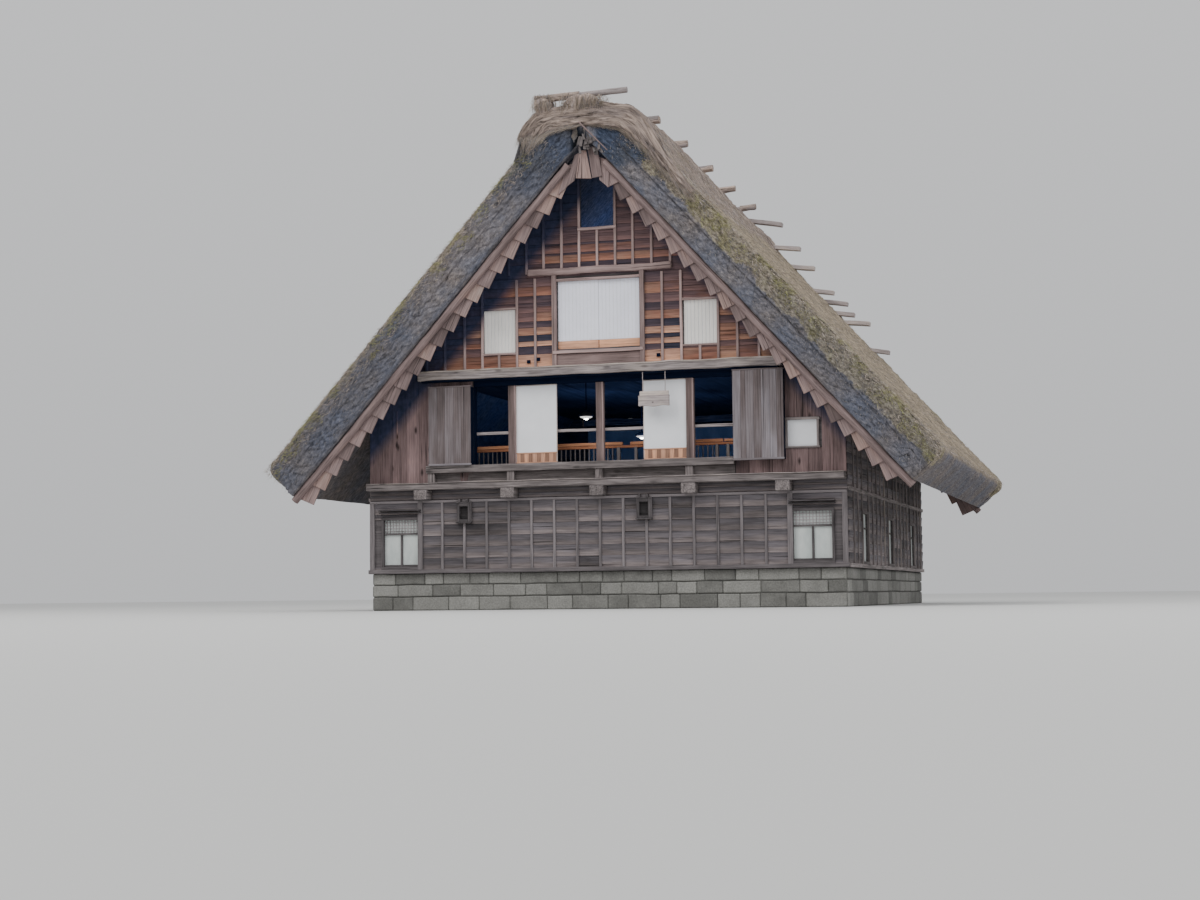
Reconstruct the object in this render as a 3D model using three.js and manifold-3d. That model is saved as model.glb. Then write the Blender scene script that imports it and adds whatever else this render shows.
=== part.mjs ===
// Thatched farmhouse with a steep gable roof, on a stone footing.
// Millimetres, +Z up. The origin is on the ground under the middle of the house.
// The front gable faces -Y. A gable's own frame has y = 0 on the outer face of its walls.
import * as THREE from 'three';
import { mergeVertices } from 'three/addons/utils/BufferGeometryUtils.js';
import Module from 'manifold-3d';

const wasm = await Module();
wasm.setup();

// Fit between neighbours that touch
const GAP = 0.3;
const OVERLAP = 5;

// House and roof
const WALL_HALF_WIDTH = 5250;
const WALL_HALF_LENGTH = 6050;
const WALL = 120;
const ROOF_HALF_LENGTH = 7000;
const SLOPE = 1.108;
const STRETCH = Math.hypot(1, SLOPE);
const SLOPE_ANGLE = Math.atan(SLOPE);
const POLE_RADIUS = 90;
const POLE_APEX = 9790;
const THATCH = 880;
const INNER_APEX = POLE_APEX + POLE_RADIUS * STRETCH;
const OUTER_APEX = INNER_APEX + THATCH * STRETCH;
const EAVE_X = 6700;
const THATCH_TOP = 10200;

// Heights of the storeys
const FOOTING_TOP = 800;
const FOOTING_LEDGE = 300;
const FOOTING_RECESS = 50;
const FOOTING_WIDTH = 300;
const LEDGE_WIDTH = 450;
const SILL_PROUD = 20;
const SILL_TOP = 880;
const GROUND_DECK = 350;
const BEAM_BOTTOM = 2385;
const BEAM_TOP = 2600;
const SKIRT_TOP = 2754;
const SECOND_DECK = 2650;
const WINDOW_SILL_BOTTOM = 2960;
const WINDOW_SILL_TOP = 3120;
const TRACK_BOTTOM = 4815;
const HEAD_BOTTOM = 4956;
const HEAD_TOP = 5170;
const THIRD_DECK = 5220;
const LOFT_LINE = 7117;
const ATTIC_DECK = 7170;
const HATCH_SILL = 8136;

// Vent boxes low on the front wall, with a square hole through each
const VENT = { width: 300, reach: 90, bottom: 1890, top: 2306 };
const VENT_HOLE = { width: 190, bottom: 1950, top: 2230 };
const VENT_X = [-3050, 970];

// Gable timbers
const BEAM_X = [-3970, -1985, 0, 1985, 3970];
const BEAM_WIDTH = 300;
const BEAM_REACH = 300;
const POST_X = [-1970, 0, 1970];
const POST = 160;
const POST_DEPTH = 150;
const SILL_REACH = 150;
const SILL_LEFT = -3900;
const SILL_RIGHT = 2930;
const BAY_LEFT = -2840;
const HEAD_HALF = 4050;
const HEAD_DEPTH = 250;
const TRACK_DEPTH = 150;
const SKIRT_HALF = 5240;
const SKIRT_REACH = 300;
const HATCH_HALF = 400;

// Guard rail behind the posts and the low railing further in
const GUARD_RAIL = { bottom: 3780, top: 3840, depth: 40 };
const RAIL_Y = 600;
const RAIL_TOP = 3550;
const BALUSTER = 30;
const BALUSTER_PITCH = 120;

// Sliding panels, shutter boxes and the hanging board
const PANEL_Y = 50;
const PANEL_THICKNESS = 40;
const LEFT_PANEL_EDGE = -965;
const RIGHT_PANEL_EDGE = 950;
const SHUTTER_DEPTH = 200;
const LEFT_SHUTTER = { left: -3810, right: BAY_LEFT, bottom: WINDOW_SILL_TOP + GAP, top: 4830 };
const RIGHT_SHUTTER = { left: SILL_RIGHT + GAP, right: 4000, bottom: 3040, top: 4920 };
const BOARD = { left: 922, right: 1586, bottom: 4215, top: 4555 };
const BOARD_Y = -200;
const BOARD_THICKNESS = 40;
const BOARD_CORDS_X = [1010, 1500];
const CORD_RADIUS = 8;

// Pendant lamps, each by the place of the bottom of its shade
const LAMPS = [[-900, -4050, 4250], [-1000, 1050, 4210]];

// Windows and hatches as left, right, bottom, top on a gable
const GROUND_WINDOW = { left: 4116, right: 4940, bottom: 935, top: 1976 };
const SMALL_WINDOW = { left: 4040, right: 4656, bottom: 3300, top: 3847 };
const LEAVES = { left: -905, right: 905, bottom: 5547, top: 7010 };
const LOFT_WINDOW = { left: 1870, right: 2590, bottom: 5520, top: 6460 };
const REAR_BAYS = [-2960, -990, 990, 2960];
const REAR_BAY_WIDTH = 1700;
const SIDE_WINDOW_Y = [-3900, 0, 3900];
const PANE = 40;
const PANE_SETBACK = 40;
const SHEET = 20;
const SHEET_LAP = 60;

// Verge planks along the gable, and the outlines of the few that fan out at the apex
const PLANK_PITCH = 405;
const PLANK_WIDTH = 340;
const PLANK_LENGTH = 600;
const PLANK_THICKNESS = 40;
const PLANK_TURN = THREE.MathUtils.degToRad(18);
const PLANK_COUNT = 22;
const VERGE_Y = -810;
const PLANK_Y = -750;
const POLE_START = 400;
const LEFT_FIRST_TIP = new THREE.Vector2(558, 8620);
const RIGHT_FIRST_TIP = new THREE.Vector2(464, 8806);
const LEFT_APEX_PLANKS = [
  [[-199, 9030], [141, 9000], [20, 9640], [-120, 9650]],
  [[-420, 8860], [-250, 8990], [-110, 9560], [-260, 9500]],
];
const RIGHT_APEX_PLANKS = [
  [[155, 9000], [330, 9060], [280, 9520], [65, 9560]],
  [[300, 8960], [480, 8800], [480, 9300], [250, 9450]],
];

// Planks driven into the right slope near the far gable, each by the place of its tip
const STEP_TIPS = [
  [2100, 9722], [2480, 9161], [3000, 8457], [3370, 8135], [3550, 7825], [3960, 7558], [4470, 6759],
];
const RIDGE_STEP_TIP = [1610, 10420];
const STEP_Y = 6450;
const STEP_LENGTH = 1150;
const STEP_WIDTH = 220;
const STEP_THICKNESS = 130;
const STEP_TILT = THREE.MathUtils.degToRad(8);

// Cross logs on the ridge
const LOG_FIRST_Y = -6900;
const LOG_PITCH = 2600;
const LOG_COUNT = 6;
const LOG_RADIUS = 80;
const LOG_Z = 10810;
const LOG_ENDS_X = [-1070, 930];
const LOG_DROP = 40;
const BUNDLES_X = [[-950, -620], [-380, 520]];
const BUNDLE_WIDTH = 170;

const COLOURS = {
  stone: 0x8a8880,
  oldWood: 0x7a6f66,
  redWood: 0x6b4232,
  greyWood: 0x8b8580,
  orangeWood: 0xa8673a,
  paper: 0xe6e6e4,
  glass: 0xbfc4c0,
  thatch: 0x6a6456,
  straw: 0x9a8a6c,
};

function innerZ(x) {
  return INNER_APEX - SLOPE * Math.abs(x);
}

function innerX(z) {
  return (INNER_APEX - z) / SLOPE;
}

function outerX(z) {
  return (OUTER_APEX - z) / SLOPE;
}

// A closed geometry as a solid that can be joined and cut
function solidFrom(geometry) {
  const bare = geometry.clone();
  bare.deleteAttribute('normal');
  bare.deleteAttribute('uv');
  const merged = mergeVertices(bare, 1e-3);
  const vertProperties = new Float32Array(merged.attributes.position.array);
  const triVerts = new Uint32Array(merged.index.array);
  return new wasm.Manifold(new wasm.Mesh({ numProp: 3, vertProperties, triVerts }));
}

function geometryFrom(solid) {
  const { vertProperties, triVerts } = solid.getMesh();
  const geometry = new THREE.BufferGeometry();
  geometry.setAttribute('position', new THREE.BufferAttribute(vertProperties, 3));
  geometry.setIndex(new THREE.BufferAttribute(triVerts, 1));
  return geometry;
}

function join(...geometries) {
  const solids = geometries.map(solidFrom);
  return geometryFrom(solids.reduce((whole, piece) => whole.add(piece)));
}

function cut(geometry, ...tools) {
  const solids = tools.map(solidFrom);
  return geometryFrom(solids.reduce((whole, tool) => whole.subtract(tool), solidFrom(geometry)));
}

function clip(geometry, region) {
  return geometryFrom(solidFrom(geometry).intersect(solidFrom(region)));
}

function box(x0, x1, y0, y1, z0, z1) {
  const geometry = new THREE.BoxGeometry(x1 - x0, y1 - y0, z1 - z0);
  return geometry.translate((x0 + x1) / 2, (y0 + y1) / 2, (z0 + z1) / 2);
}

function shapeFrom(points) {
  return new THREE.Shape(points.map(([a, b]) => new THREE.Vector2(a, b)));
}

// An outline of [x, z] points that runs along Y from y0 to y1
function prism(points, y0, y1) {
  const geometry = new THREE.ExtrudeGeometry(shapeFrom(points), { depth: y1 - y0, bevelEnabled: false });
  return geometry.rotateX(Math.PI / 2).translate(0, y1, 0);
}

// A rectangular ring of walls seen from above
function ring(halfX, halfY, thickness, z0, z1) {
  const corners = (x, y) => [[-x, -y], [x, -y], [x, y], [-x, y]];
  const shape = shapeFrom(corners(halfX, halfY));
  shape.holes.push(shapeFrom(corners(halfX - thickness, halfY - thickness)));
  return new THREE.ExtrudeGeometry(shape, { depth: z1 - z0, bevelEnabled: false }).translate(0, 0, z0);
}

function rod(from, to, radius, sides) {
  const start = new THREE.Vector3(...from);
  const end = new THREE.Vector3(...to);
  const axis = end.clone().sub(start);
  const geometry = new THREE.CylinderGeometry(radius, radius, axis.length(), sides);
  const turn = new THREE.Quaternion().setFromUnitVectors(new THREE.Vector3(0, 1, 0), axis.normalize());
  const middle = start.add(end).multiplyScalar(0.5);
  return geometry.applyQuaternion(turn).translate(middle.x, middle.y, middle.z);
}

function piece(name, geometry, colour) {
  const material = new THREE.MeshStandardMaterial({ color: colour, roughness: 0.9, metalness: 0 });
  const mesh = new THREE.Mesh(geometry, material);
  mesh.name = name;
  return mesh;
}

function mirrored({ left, right, bottom, top }) {
  return { left: -right, right: -left, bottom, top };
}

// Cutter that passes through a gable wall
function windowHole({ left, right, bottom, top }) {
  return box(left, right, -WALL, 2 * WALL, bottom, top);
}

function windowPane({ left, right, bottom, top }) {
  const y = PANE_SETBACK;
  return box(left + GAP, right - GAP, y, y + PANE, bottom + GAP, top - GAP);
}

// Stone footing with an inner ledge that carries the ground floor
function stoneFooting() {
  const halfX = WALL_HALF_WIDTH - FOOTING_RECESS;
  const halfY = WALL_HALF_LENGTH - FOOTING_RECESS;
  const ledge = ring(halfX, halfY, LEDGE_WIDTH, 0, FOOTING_LEDGE);
  return join(ledge, ring(halfX, halfY, FOOTING_WIDTH, FOOTING_LEDGE - OVERLAP, FOOTING_TOP));
}

function groundFloor() {
  const inset = FOOTING_RECESS + FOOTING_WIDTH + GAP;
  const halfX = WALL_HALF_WIDTH - inset;
  const halfY = WALL_HALF_LENGTH - inset;
  return box(-halfX, halfX, -halfY, halfY, FOOTING_LEDGE + GAP, GROUND_DECK);
}

function ventBox(x) {
  const half = VENT.width / 2;
  return box(x - half, x + half, -VENT.reach, WALL / 2, VENT.bottom, VENT.top);
}

function ventHole(x) {
  const half = VENT_HOLE.width / 2;
  return box(x - half, x + half, -2 * WALL, 2 * WALL, VENT_HOLE.bottom, VENT_HOLE.top);
}

// Ground storey of a gable, notched for the ends of the long beams
function groundGableWall(ventX) {
  const w = WALL_HALF_WIDTH;
  const wall = box(-w, w, 0, WALL, SILL_TOP - OVERLAP, BEAM_TOP);
  const sill = box(-w - SILL_PROUD, w + SILL_PROUD, -SILL_PROUD, WALL, FOOTING_TOP + GAP, SILL_TOP);
  const half = BEAM_WIDTH / 2 + GAP;
  const notch = (x) => box(x - half, x + half, -WALL, 2 * WALL, BEAM_BOTTOM - GAP, BEAM_TOP + WALL);
  const notches = BEAM_X.map(notch);
  const windows = [windowHole(GROUND_WINDOW), windowHole(mirrored(GROUND_WINDOW))];
  return cut(join(wall, sill, ...ventX.map(ventBox)), ...notches, ...windows, ...ventX.map(ventHole));
}

// Long board wall under the eaves, its top cut to the slope of the thatch
function sideWall() {
  const outer = -WALL_HALF_WIDTH;
  const inner = outer + WALL;
  const half = WALL_HALF_LENGTH - WALL - GAP;
  const foot = SILL_TOP - OVERLAP;
  const head = (x) => [x, innerZ(x) - GAP * STRETCH];
  const outline = [[outer, foot], [inner, foot], head(inner), head(outer)];
  const { left, right, bottom, top } = GROUND_WINDOW;
  const halfWindow = (right - left) / 2;
  const hole = (y) => box(outer - WALL, inner + WALL, y - halfWindow, y + halfWindow, bottom, top);
  const sill = box(outer - SILL_PROUD, inner, -half, half, FOOTING_TOP + GAP, SILL_TOP);
  return cut(join(prism(outline, -half, half), sill), ...SIDE_WINDOW_Y.map(hole));
}

// One sheet behind a long wall that closes its windows
function sideWindows() {
  const face = -WALL_HALF_WIDTH + WALL + GAP;
  const { left, right, bottom, top } = GROUND_WINDOW;
  const reach = SIDE_WINDOW_Y[2] + (right - left) / 2 + SHEET_LAP;
  return box(face, face + SHEET, -reach, reach, bottom - SHEET_LAP, top + SHEET_LAP);
}

// Deck of the second storey on five long beams that run out through both gables
function secondFloor() {
  const halfX = WALL_HALF_WIDTH - WALL - GAP;
  const halfY = WALL_HALF_LENGTH - WALL - GAP;
  const reach = WALL_HALF_LENGTH + BEAM_REACH;
  const half = BEAM_WIDTH / 2;
  const beams = BEAM_X.map((x) => box(x - half, x + half, -reach, reach, BEAM_BOTTOM, BEAM_TOP));
  return join(box(-halfX, halfX, -halfY, halfY, BEAM_TOP - OVERLAP, SECOND_DECK), ...beams);
}

function skirtBeam() {
  return box(-SKIRT_HALF, SKIRT_HALF, -SKIRT_REACH, WALL, BEAM_TOP + GAP, SKIRT_TOP);
}

// Window sill of the second storey on short blocks, with its posts and the guard rail behind them
function sillAndPosts() {
  const bottom = SKIRT_TOP + GAP;
  const top = TRACK_BOTTOM - GAP;
  const half = POST / 2;
  const bay = BAY_LEFT + GAP;
  const sunk = WINDOW_SILL_TOP - OVERLAP;
  const stripTop = WINDOW_SILL_BOTTOM + OVERLAP;
  const blocksX = [SILL_LEFT + 110, ...POST_X];
  const railY = POST_DEPTH + GUARD_RAIL.depth;
  return join(
    box(SILL_LEFT, SILL_RIGHT, -SILL_REACH, -GAP, WINDOW_SILL_BOTTOM, WINDOW_SILL_TOP),
    box(bay, SILL_RIGHT, -OVERLAP, WALL, WINDOW_SILL_BOTTOM, WINDOW_SILL_TOP),
    box(SILL_LEFT + 40, SILL_RIGHT, -30, -GAP, bottom, stripTop),
    box(bay, SILL_RIGHT, -OVERLAP, 80, bottom, stripTop),
    ...blocksX.map((x) => box(x - half, x + half, -120, -GAP, bottom, sunk)),
    ...POST_X.map((x) => box(x - half, x + half, 0, POST_DEPTH, sunk, top)),
    box(bay + 10, SILL_RIGHT - 10, POST_DEPTH - OVERLAP, railY, GUARD_RAIL.bottom, GUARD_RAIL.top),
  );
}

// Board wall of the second storey between the corner and the open bays, cut to the roof
function secondOuterWall(innerEdge, holes) {
  const foot = SKIRT_TOP + GAP;
  const corner = WALL_HALF_WIDTH;
  const shoulder = HEAD_HALF + GAP;
  const rise = GAP * STRETCH;
  const outline = [
    [innerEdge, foot], [corner, foot], [corner, innerZ(corner) - rise],
    [innerX(HEAD_TOP) - GAP, HEAD_TOP], [shoulder, HEAD_TOP],
    [shoulder, HEAD_BOTTOM - GAP], [innerEdge, HEAD_BOTTOM - GAP],
  ];
  const wall = prism(outline, 0, WALL);
  return holes.length ? cut(wall, ...holes) : wall;
}

// Board wall of the rear gable's second storey with four plain windows
function secondRearWall() {
  const foot = SKIRT_TOP + GAP;
  const corner = WALL_HALF_WIDTH;
  const shoulder = HEAD_HALF + GAP;
  const rise = GAP * STRETCH;
  const right = [
    [corner, foot], [corner, innerZ(corner) - rise],
    [innerX(HEAD_TOP) - GAP, HEAD_TOP], [shoulder, HEAD_TOP], [shoulder, HEAD_BOTTOM - GAP],
  ];
  const left = right.map(([x, z]) => [-x, z]).reverse();
  const half = REAR_BAY_WIDTH / 2;
  const holes = REAR_BAYS.map((x) => box(x - half, x + half, -WALL, 2 * WALL, WINDOW_SILL_TOP, TRACK_BOTTOM));
  return cut(prism([...right, ...left], 0, WALL), ...holes);
}

function secondRearWindows() {
  const reach = REAR_BAYS[3] + REAR_BAY_WIDTH / 2 + SHEET_LAP;
  return box(-reach, reach, WALL + GAP, WALL + SHEET, WINDOW_SILL_TOP - SHEET_LAP, TRACK_BOTTOM + SHEET_LAP);
}

function groundRearWindows() {
  const { right, bottom, top } = GROUND_WINDOW;
  const reach = right + SHEET_LAP;
  return box(-reach, reach, WALL + GAP, WALL + SHEET, bottom - SHEET_LAP, top + SHEET_LAP);
}

function thirdRearWindows() {
  const reach = LOFT_WINDOW.right + SHEET_LAP;
  const middle = LEAVES.right + SHEET_LAP;
  const foot = LOFT_WINDOW.bottom - SHEET_LAP;
  const shoulder = LOFT_WINDOW.top + SHEET_LAP;
  const head = LEAVES.top + SHEET_LAP;
  const outline = [
    [-reach, foot], [reach, foot], [reach, shoulder], [middle, head], [-middle, head], [-reach, shoulder],
  ];
  return prism(outline, WALL + GAP, WALL + SHEET);
}

// Low railing inside the open bays, with square balusters
function railing() {
  const left = BAY_LEFT + 10;
  const right = SILL_RIGHT - 10;
  const foot = SECOND_DECK + GAP;
  const head = RAIL_TOP - 70;
  const bars = [];
  const half = BALUSTER / 2;
  for (let x = left + BALUSTER_PITCH; x < right - BALUSTER_PITCH / 2; x += BALUSTER_PITCH) {
    bars.push(box(x - half, x + half, RAIL_Y - half, RAIL_Y + half, foot + BALUSTER, head + BALUSTER));
  }
  return join(
    box(left, right, RAIL_Y - 35, RAIL_Y + 35, head, RAIL_TOP),
    box(left, right, RAIL_Y - 25, RAIL_Y + 25, foot, SECOND_DECK + 70),
    box(left, left + 70, RAIL_Y - 30, RAIL_Y + 30, foot, head + BALUSTER),
    box(right - 70, right, RAIL_Y - 30, RAIL_Y + 30, foot, head + BALUSTER),
    ...bars,
  );
}

// Head beam over the second storey with the track of the sliding panels under it
function headBeam() {
  return join(
    box(-HEAD_HALF, HEAD_HALF, -HEAD_DEPTH, HEAD_DEPTH, HEAD_BOTTOM, HEAD_TOP),
    box(BAY_LEFT + 10, SILL_RIGHT - 10, 0, TRACK_DEPTH, TRACK_BOTTOM, HEAD_BOTTOM + OVERLAP),
  );
}

function rearHeadBeam() {
  return box(-HEAD_HALF, HEAD_HALF, -HEAD_DEPTH, HEAD_DEPTH, HEAD_BOTTOM, HEAD_TOP);
}

function thirdWall() {
  const foot = HEAD_TOP + GAP;
  const wide = innerX(foot) - GAP;
  const narrow = innerX(LOFT_LINE) - GAP;
  const outline = [[-wide, foot], [wide, foot], [narrow, LOFT_LINE], [-narrow, LOFT_LINE]];
  const windows = [LEAVES, LOFT_WINDOW, mirrored(LOFT_WINDOW)];
  return cut(prism(outline, 0, WALL), ...windows.map(windowHole));
}

// Top wall with the open hatch that runs up to the roof
function atticWall() {
  const foot = LOFT_LINE + GAP;
  const wide = innerX(foot) - GAP;
  const half = HATCH_HALF;
  const jamb = innerZ(half) - GAP * STRETCH;
  const outline = [
    [-wide, foot], [wide, foot], [half, jamb], [half, HATCH_SILL], [-half, HATCH_SILL], [-half, jamb],
  ];
  return prism(outline, 0, WALL);
}

// Crooked pole under the top wall
function loftBeam() {
  const outline = [
    [-1560, 7105], [-850, 7128], [0, 7122], [900, 7112], [1640, 7132],
    [1640, 7225], [900, 7212], [0, 7230], [-850, 7238], [-1560, 7214],
  ];
  return prism(outline, -100, -GAP);
}

// Pendant lamp on a cord under the third floor
function pendantLamp(x, y, z) {
  const profile = [[0, 0], [55, 0], [180, 40], [170, 62], [60, 130], [0, 150]];
  const shade = new THREE.LatheGeometry(profile.map(([r, h]) => new THREE.Vector2(r, h)), 16);
  shade.rotateX(Math.PI / 2).translate(x, y, z);
  return join(shade, rod([x, y, z + 100], [x, y, THIRD_DECK - 30], CORD_RADIUS, 6));
}

function thirdFloor() {
  const halfX = innerX(THIRD_DECK) - GAP;
  const halfY = WALL_HALF_LENGTH - WALL - GAP;
  const deck = box(-halfX, halfX, -halfY, halfY, HEAD_TOP + GAP, THIRD_DECK);
  return join(deck, ...LAMPS.map((place) => pendantLamp(...place)));
}

function atticFloor() {
  const halfX = innerX(ATTIC_DECK) - GAP;
  const halfY = WALL_HALF_LENGTH - WALL - GAP;
  return box(-halfX, halfX, -halfY, halfY, LOFT_LINE + GAP, ATTIC_DECK);
}

// A plank in the roof whose tip is at [x, z], seen from the front
function stepPlank([x, z], swell) {
  const half = STEP_THICKNESS / 2 + swell;
  const width = STEP_WIDTH / 2 + swell;
  const geometry = box(-STEP_LENGTH, swell, -width, width, -half, half);
  return geometry.rotateY(STEP_TILT).translate(x, STEP_Y, z);
}

// Thatch of one slope, from the ridge down to its cut end over the eaves
function thatchOutline(side) {
  const eaveZ = INNER_APEX - SLOPE * EAVE_X;
  const outer = [EAVE_X + THATCH * Math.sin(SLOPE_ANGLE), eaveZ + THATCH * Math.cos(SLOPE_ANGLE)];
  const outline = [
    [GAP, innerZ(GAP)], [GAP, THATCH_TOP], [outerX(THATCH_TOP), THATCH_TOP], outer, [EAVE_X, eaveZ],
  ];
  return outline.map(([x, z]) => [side * x, z]);
}

function thatchSlope(side) {
  return prism(thatchOutline(side), -ROOF_HALF_LENGTH, ROOF_HALF_LENGTH);
}

// Straw saddle laid across the ridge
function saddleOutline() {
  const leg = 1620;
  const crown = [[1560, 9800], [1440, 10120], [1040, 10480], [500, 10580]];
  const foot = [leg, OUTER_APEX - SLOPE * leg + GAP * STRETCH];
  const top = THATCH_TOP + GAP;
  const shoulder = [outerX(THATCH_TOP) + GAP, top];
  const right = [shoulder, foot, ...crown];
  const left = right.map(([x, z]) => [-x, z]).reverse();
  return [...right, [0, 10605], ...left];
}

function ridgeSaddle() {
  const saddle = prism(saddleOutline(), -ROOF_HALF_LENGTH, ROOF_HALF_LENGTH);
  const planks = STEP_TIPS.slice(0, 2).map((tip) => stepPlank(tip, GAP));
  return join(cut(saddle, ...planks), stepPlank(RIDGE_STEP_TIP, 0));
}

// Log across the ridge, on two straw bundles with a gap between them
function ridgeLog(y) {
  const [left, right] = LOG_ENDS_X;
  const log = rod([left, y, LOG_Z + LOG_DROP / 2], [right, y, LOG_Z - LOG_DROP / 2], LOG_RADIUS, 8);
  const half = BUNDLE_WIDTH / 2;
  const bundles = BUNDLES_X.map(([x0, x1]) => box(x0, x1, y - half, y + half, LOG_Z - 400, LOG_Z));
  const saddle = prism(saddleOutline(), y - BUNDLE_WIDTH, y + BUNDLE_WIDTH).translate(0, 0, GAP);
  return cut(join(log, ...bundles), saddle);
}

// Space under the thatch, seen from the front
function underThatch() {
  const apex = INNER_APEX - GAP * STRETCH;
  const reach = EAVE_X + 600;
  const edge = apex - SLOPE * reach;
  return prism([[-reach, 0], [reach, 0], [reach, edge], [0, apex], [-reach, edge]], 2 * VERGE_Y, 0);
}

// Outline of one verge plank on the right slope, from the place of its lowest corner
function plankOutline(tip) {
  const centre = new THREE.Vector2();
  const along = new THREE.Vector2(PLANK_LENGTH, 0).rotateAround(centre, -SLOPE_ANGLE - PLANK_TURN);
  const across = new THREE.Vector2(0, -PLANK_WIDTH).rotateAround(centre, -SLOPE_ANGLE - PLANK_TURN);
  const upper = tip.clone().sub(along);
  const corners = [tip, upper, upper.clone().sub(across), tip.clone().sub(across)];
  return corners.map(({ x, y }) => [x, y]);
}

// Barge pole of one slope with the row of planks behind it
function verge(side, firstTip, apexPlanks) {
  const poleEnd = (x) => [side * x, VERGE_Y, POLE_APEX - SLOPE * x];
  const outlines = [...apexPlanks];
  for (let i = 0; i < PLANK_COUNT; i += 1) {
    const step = new THREE.Vector2(i * PLANK_PITCH, 0).rotateAround(new THREE.Vector2(), -SLOPE_ANGLE);
    outlines.push(plankOutline(firstTip.clone().add(step)).map(([x, z]) => [side * x, z]));
  }
  const half = PLANK_THICKNESS / 2;
  const planks = outlines.map((outline) => prism(outline, PLANK_Y - half, PLANK_Y + half));
  const pole = rod(poleEnd(POLE_START), poleEnd(EAVE_X - POLE_RADIUS), POLE_RADIUS - GAP, 8);
  return clip(join(pole, ...planks), underThatch());
}

function leftVerge() {
  return verge(-1, LEFT_FIRST_TIP, LEFT_APEX_PLANKS);
}

function rightVerge() {
  return verge(1, RIGHT_FIRST_TIP, RIGHT_APEX_PLANKS);
}

// Shutter box beside the open bays
function shutterBox({ left, right, bottom, top }) {
  return box(left, right, -SHUTTER_DEPTH, -GAP, bottom, top);
}

function slidingPanel(left, right) {
  const y = PANEL_Y;
  return box(left, right, y, y + PANEL_THICKNESS, WINDOW_SILL_TOP + GAP, TRACK_BOTTOM - GAP);
}

// Hanging wooden board on two cords under the head beam
function alarmBoard() {
  const { left, right, bottom, top } = BOARD;
  const y = BOARD_Y;
  const half = BOARD_THICKNESS / 2;
  const cord = (x) => rod([x, y, top - 50], [x, y, HEAD_BOTTOM - GAP], CORD_RADIUS, 6);
  return join(box(left, right, y - half, y + half, bottom, top), ...BOARD_CORDS_X.map(cord));
}

// What both gables have
function gableCommon(prefix) {
  const group = new THREE.Group();
  group.add(
    piece(`${prefix}_skirt_beam`, skirtBeam(), COLOURS.greyWood),
    piece(`${prefix}_third_wall`, thirdWall(), COLOURS.redWood),
    piece(`${prefix}_attic_wall`, atticWall(), COLOURS.redWood),
    piece(`${prefix}_loft_beam`, loftBeam(), COLOURS.greyWood),
    piece(`${prefix}_left_verge`, leftVerge(), COLOURS.oldWood),
    piece(`${prefix}_right_verge`, rightVerge(), COLOURS.oldWood),
  );
  return group;
}

function frontGable() {
  const group = gableCommon('front');
  const half = POST / 2 + GAP;
  const leftWall = secondOuterWall(-BAY_LEFT, []).rotateZ(Math.PI).translate(0, WALL, 0);
  const rightWall = secondOuterWall(SILL_RIGHT + GAP, [windowHole(SMALL_WINDOW)]);
  group.add(
    piece('front_ground_wall', groundGableWall(VENT_X), COLOURS.oldWood),
    piece('front_left_ground_window', windowPane(mirrored(GROUND_WINDOW)), COLOURS.glass),
    piece('front_right_ground_window', windowPane(GROUND_WINDOW), COLOURS.glass),
    piece('front_sill_and_posts', sillAndPosts(), COLOURS.greyWood),
    piece('second_left_wall', leftWall, COLOURS.redWood),
    piece('second_right_wall', rightWall, COLOURS.redWood),
    piece('second_right_window', windowPane(SMALL_WINDOW), COLOURS.paper),
    piece('left_shutter_box', shutterBox(LEFT_SHUTTER), COLOURS.greyWood),
    piece('right_shutter_box', shutterBox(RIGHT_SHUTTER), COLOURS.greyWood),
    piece('left_sliding_panel', slidingPanel(POST_X[0] + half, LEFT_PANEL_EDGE), COLOURS.paper),
    piece('right_sliding_panel', slidingPanel(RIGHT_PANEL_EDGE, POST_X[2] - half), COLOURS.paper),
    piece('front_railing', railing(), COLOURS.orangeWood),
    piece('front_head_beam', headBeam(), COLOURS.greyWood),
    piece('third_front_window', windowPane(LEAVES), COLOURS.paper),
    piece('third_left_window', windowPane(mirrored(LOFT_WINDOW)), COLOURS.paper),
    piece('third_right_window', windowPane(LOFT_WINDOW), COLOURS.paper),
    piece('alarm_board', alarmBoard(), COLOURS.greyWood),
  );
  group.position.y = -WALL_HALF_LENGTH;
  return group;
}

function rearGable() {
  const group = gableCommon('rear');
  group.add(
    piece('rear_ground_wall', groundGableWall([]), COLOURS.oldWood),
    piece('rear_ground_windows', groundRearWindows(), COLOURS.glass),
    piece('second_rear_wall', secondRearWall(), COLOURS.redWood),
    piece('second_rear_windows', secondRearWindows(), COLOURS.paper),
    piece('rear_head_beam', rearHeadBeam(), COLOURS.greyWood),
    piece('third_rear_windows', thirdRearWindows(), COLOURS.paper),
  );
  group.rotation.z = Math.PI;
  group.position.y = WALL_HALF_LENGTH;
  return group;
}

function longSides() {
  const group = new THREE.Group();
  group.add(
    piece('left_side_wall', sideWall(), COLOURS.oldWood),
    piece('left_side_windows', sideWindows(), COLOURS.glass),
    piece('right_side_wall', sideWall().rotateZ(Math.PI), COLOURS.oldWood),
    piece('right_side_windows', sideWindows().rotateZ(Math.PI), COLOURS.glass),
  );
  return group;
}

function floors() {
  const group = new THREE.Group();
  group.add(
    piece('stone_footing', stoneFooting(), COLOURS.stone),
    piece('ground_floor', groundFloor(), COLOURS.oldWood),
    piece('second_floor', secondFloor(), COLOURS.oldWood),
    piece('third_floor', thirdFloor(), COLOURS.oldWood),
    piece('attic_floor', atticFloor(), COLOURS.oldWood),
  );
  return group;
}

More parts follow.
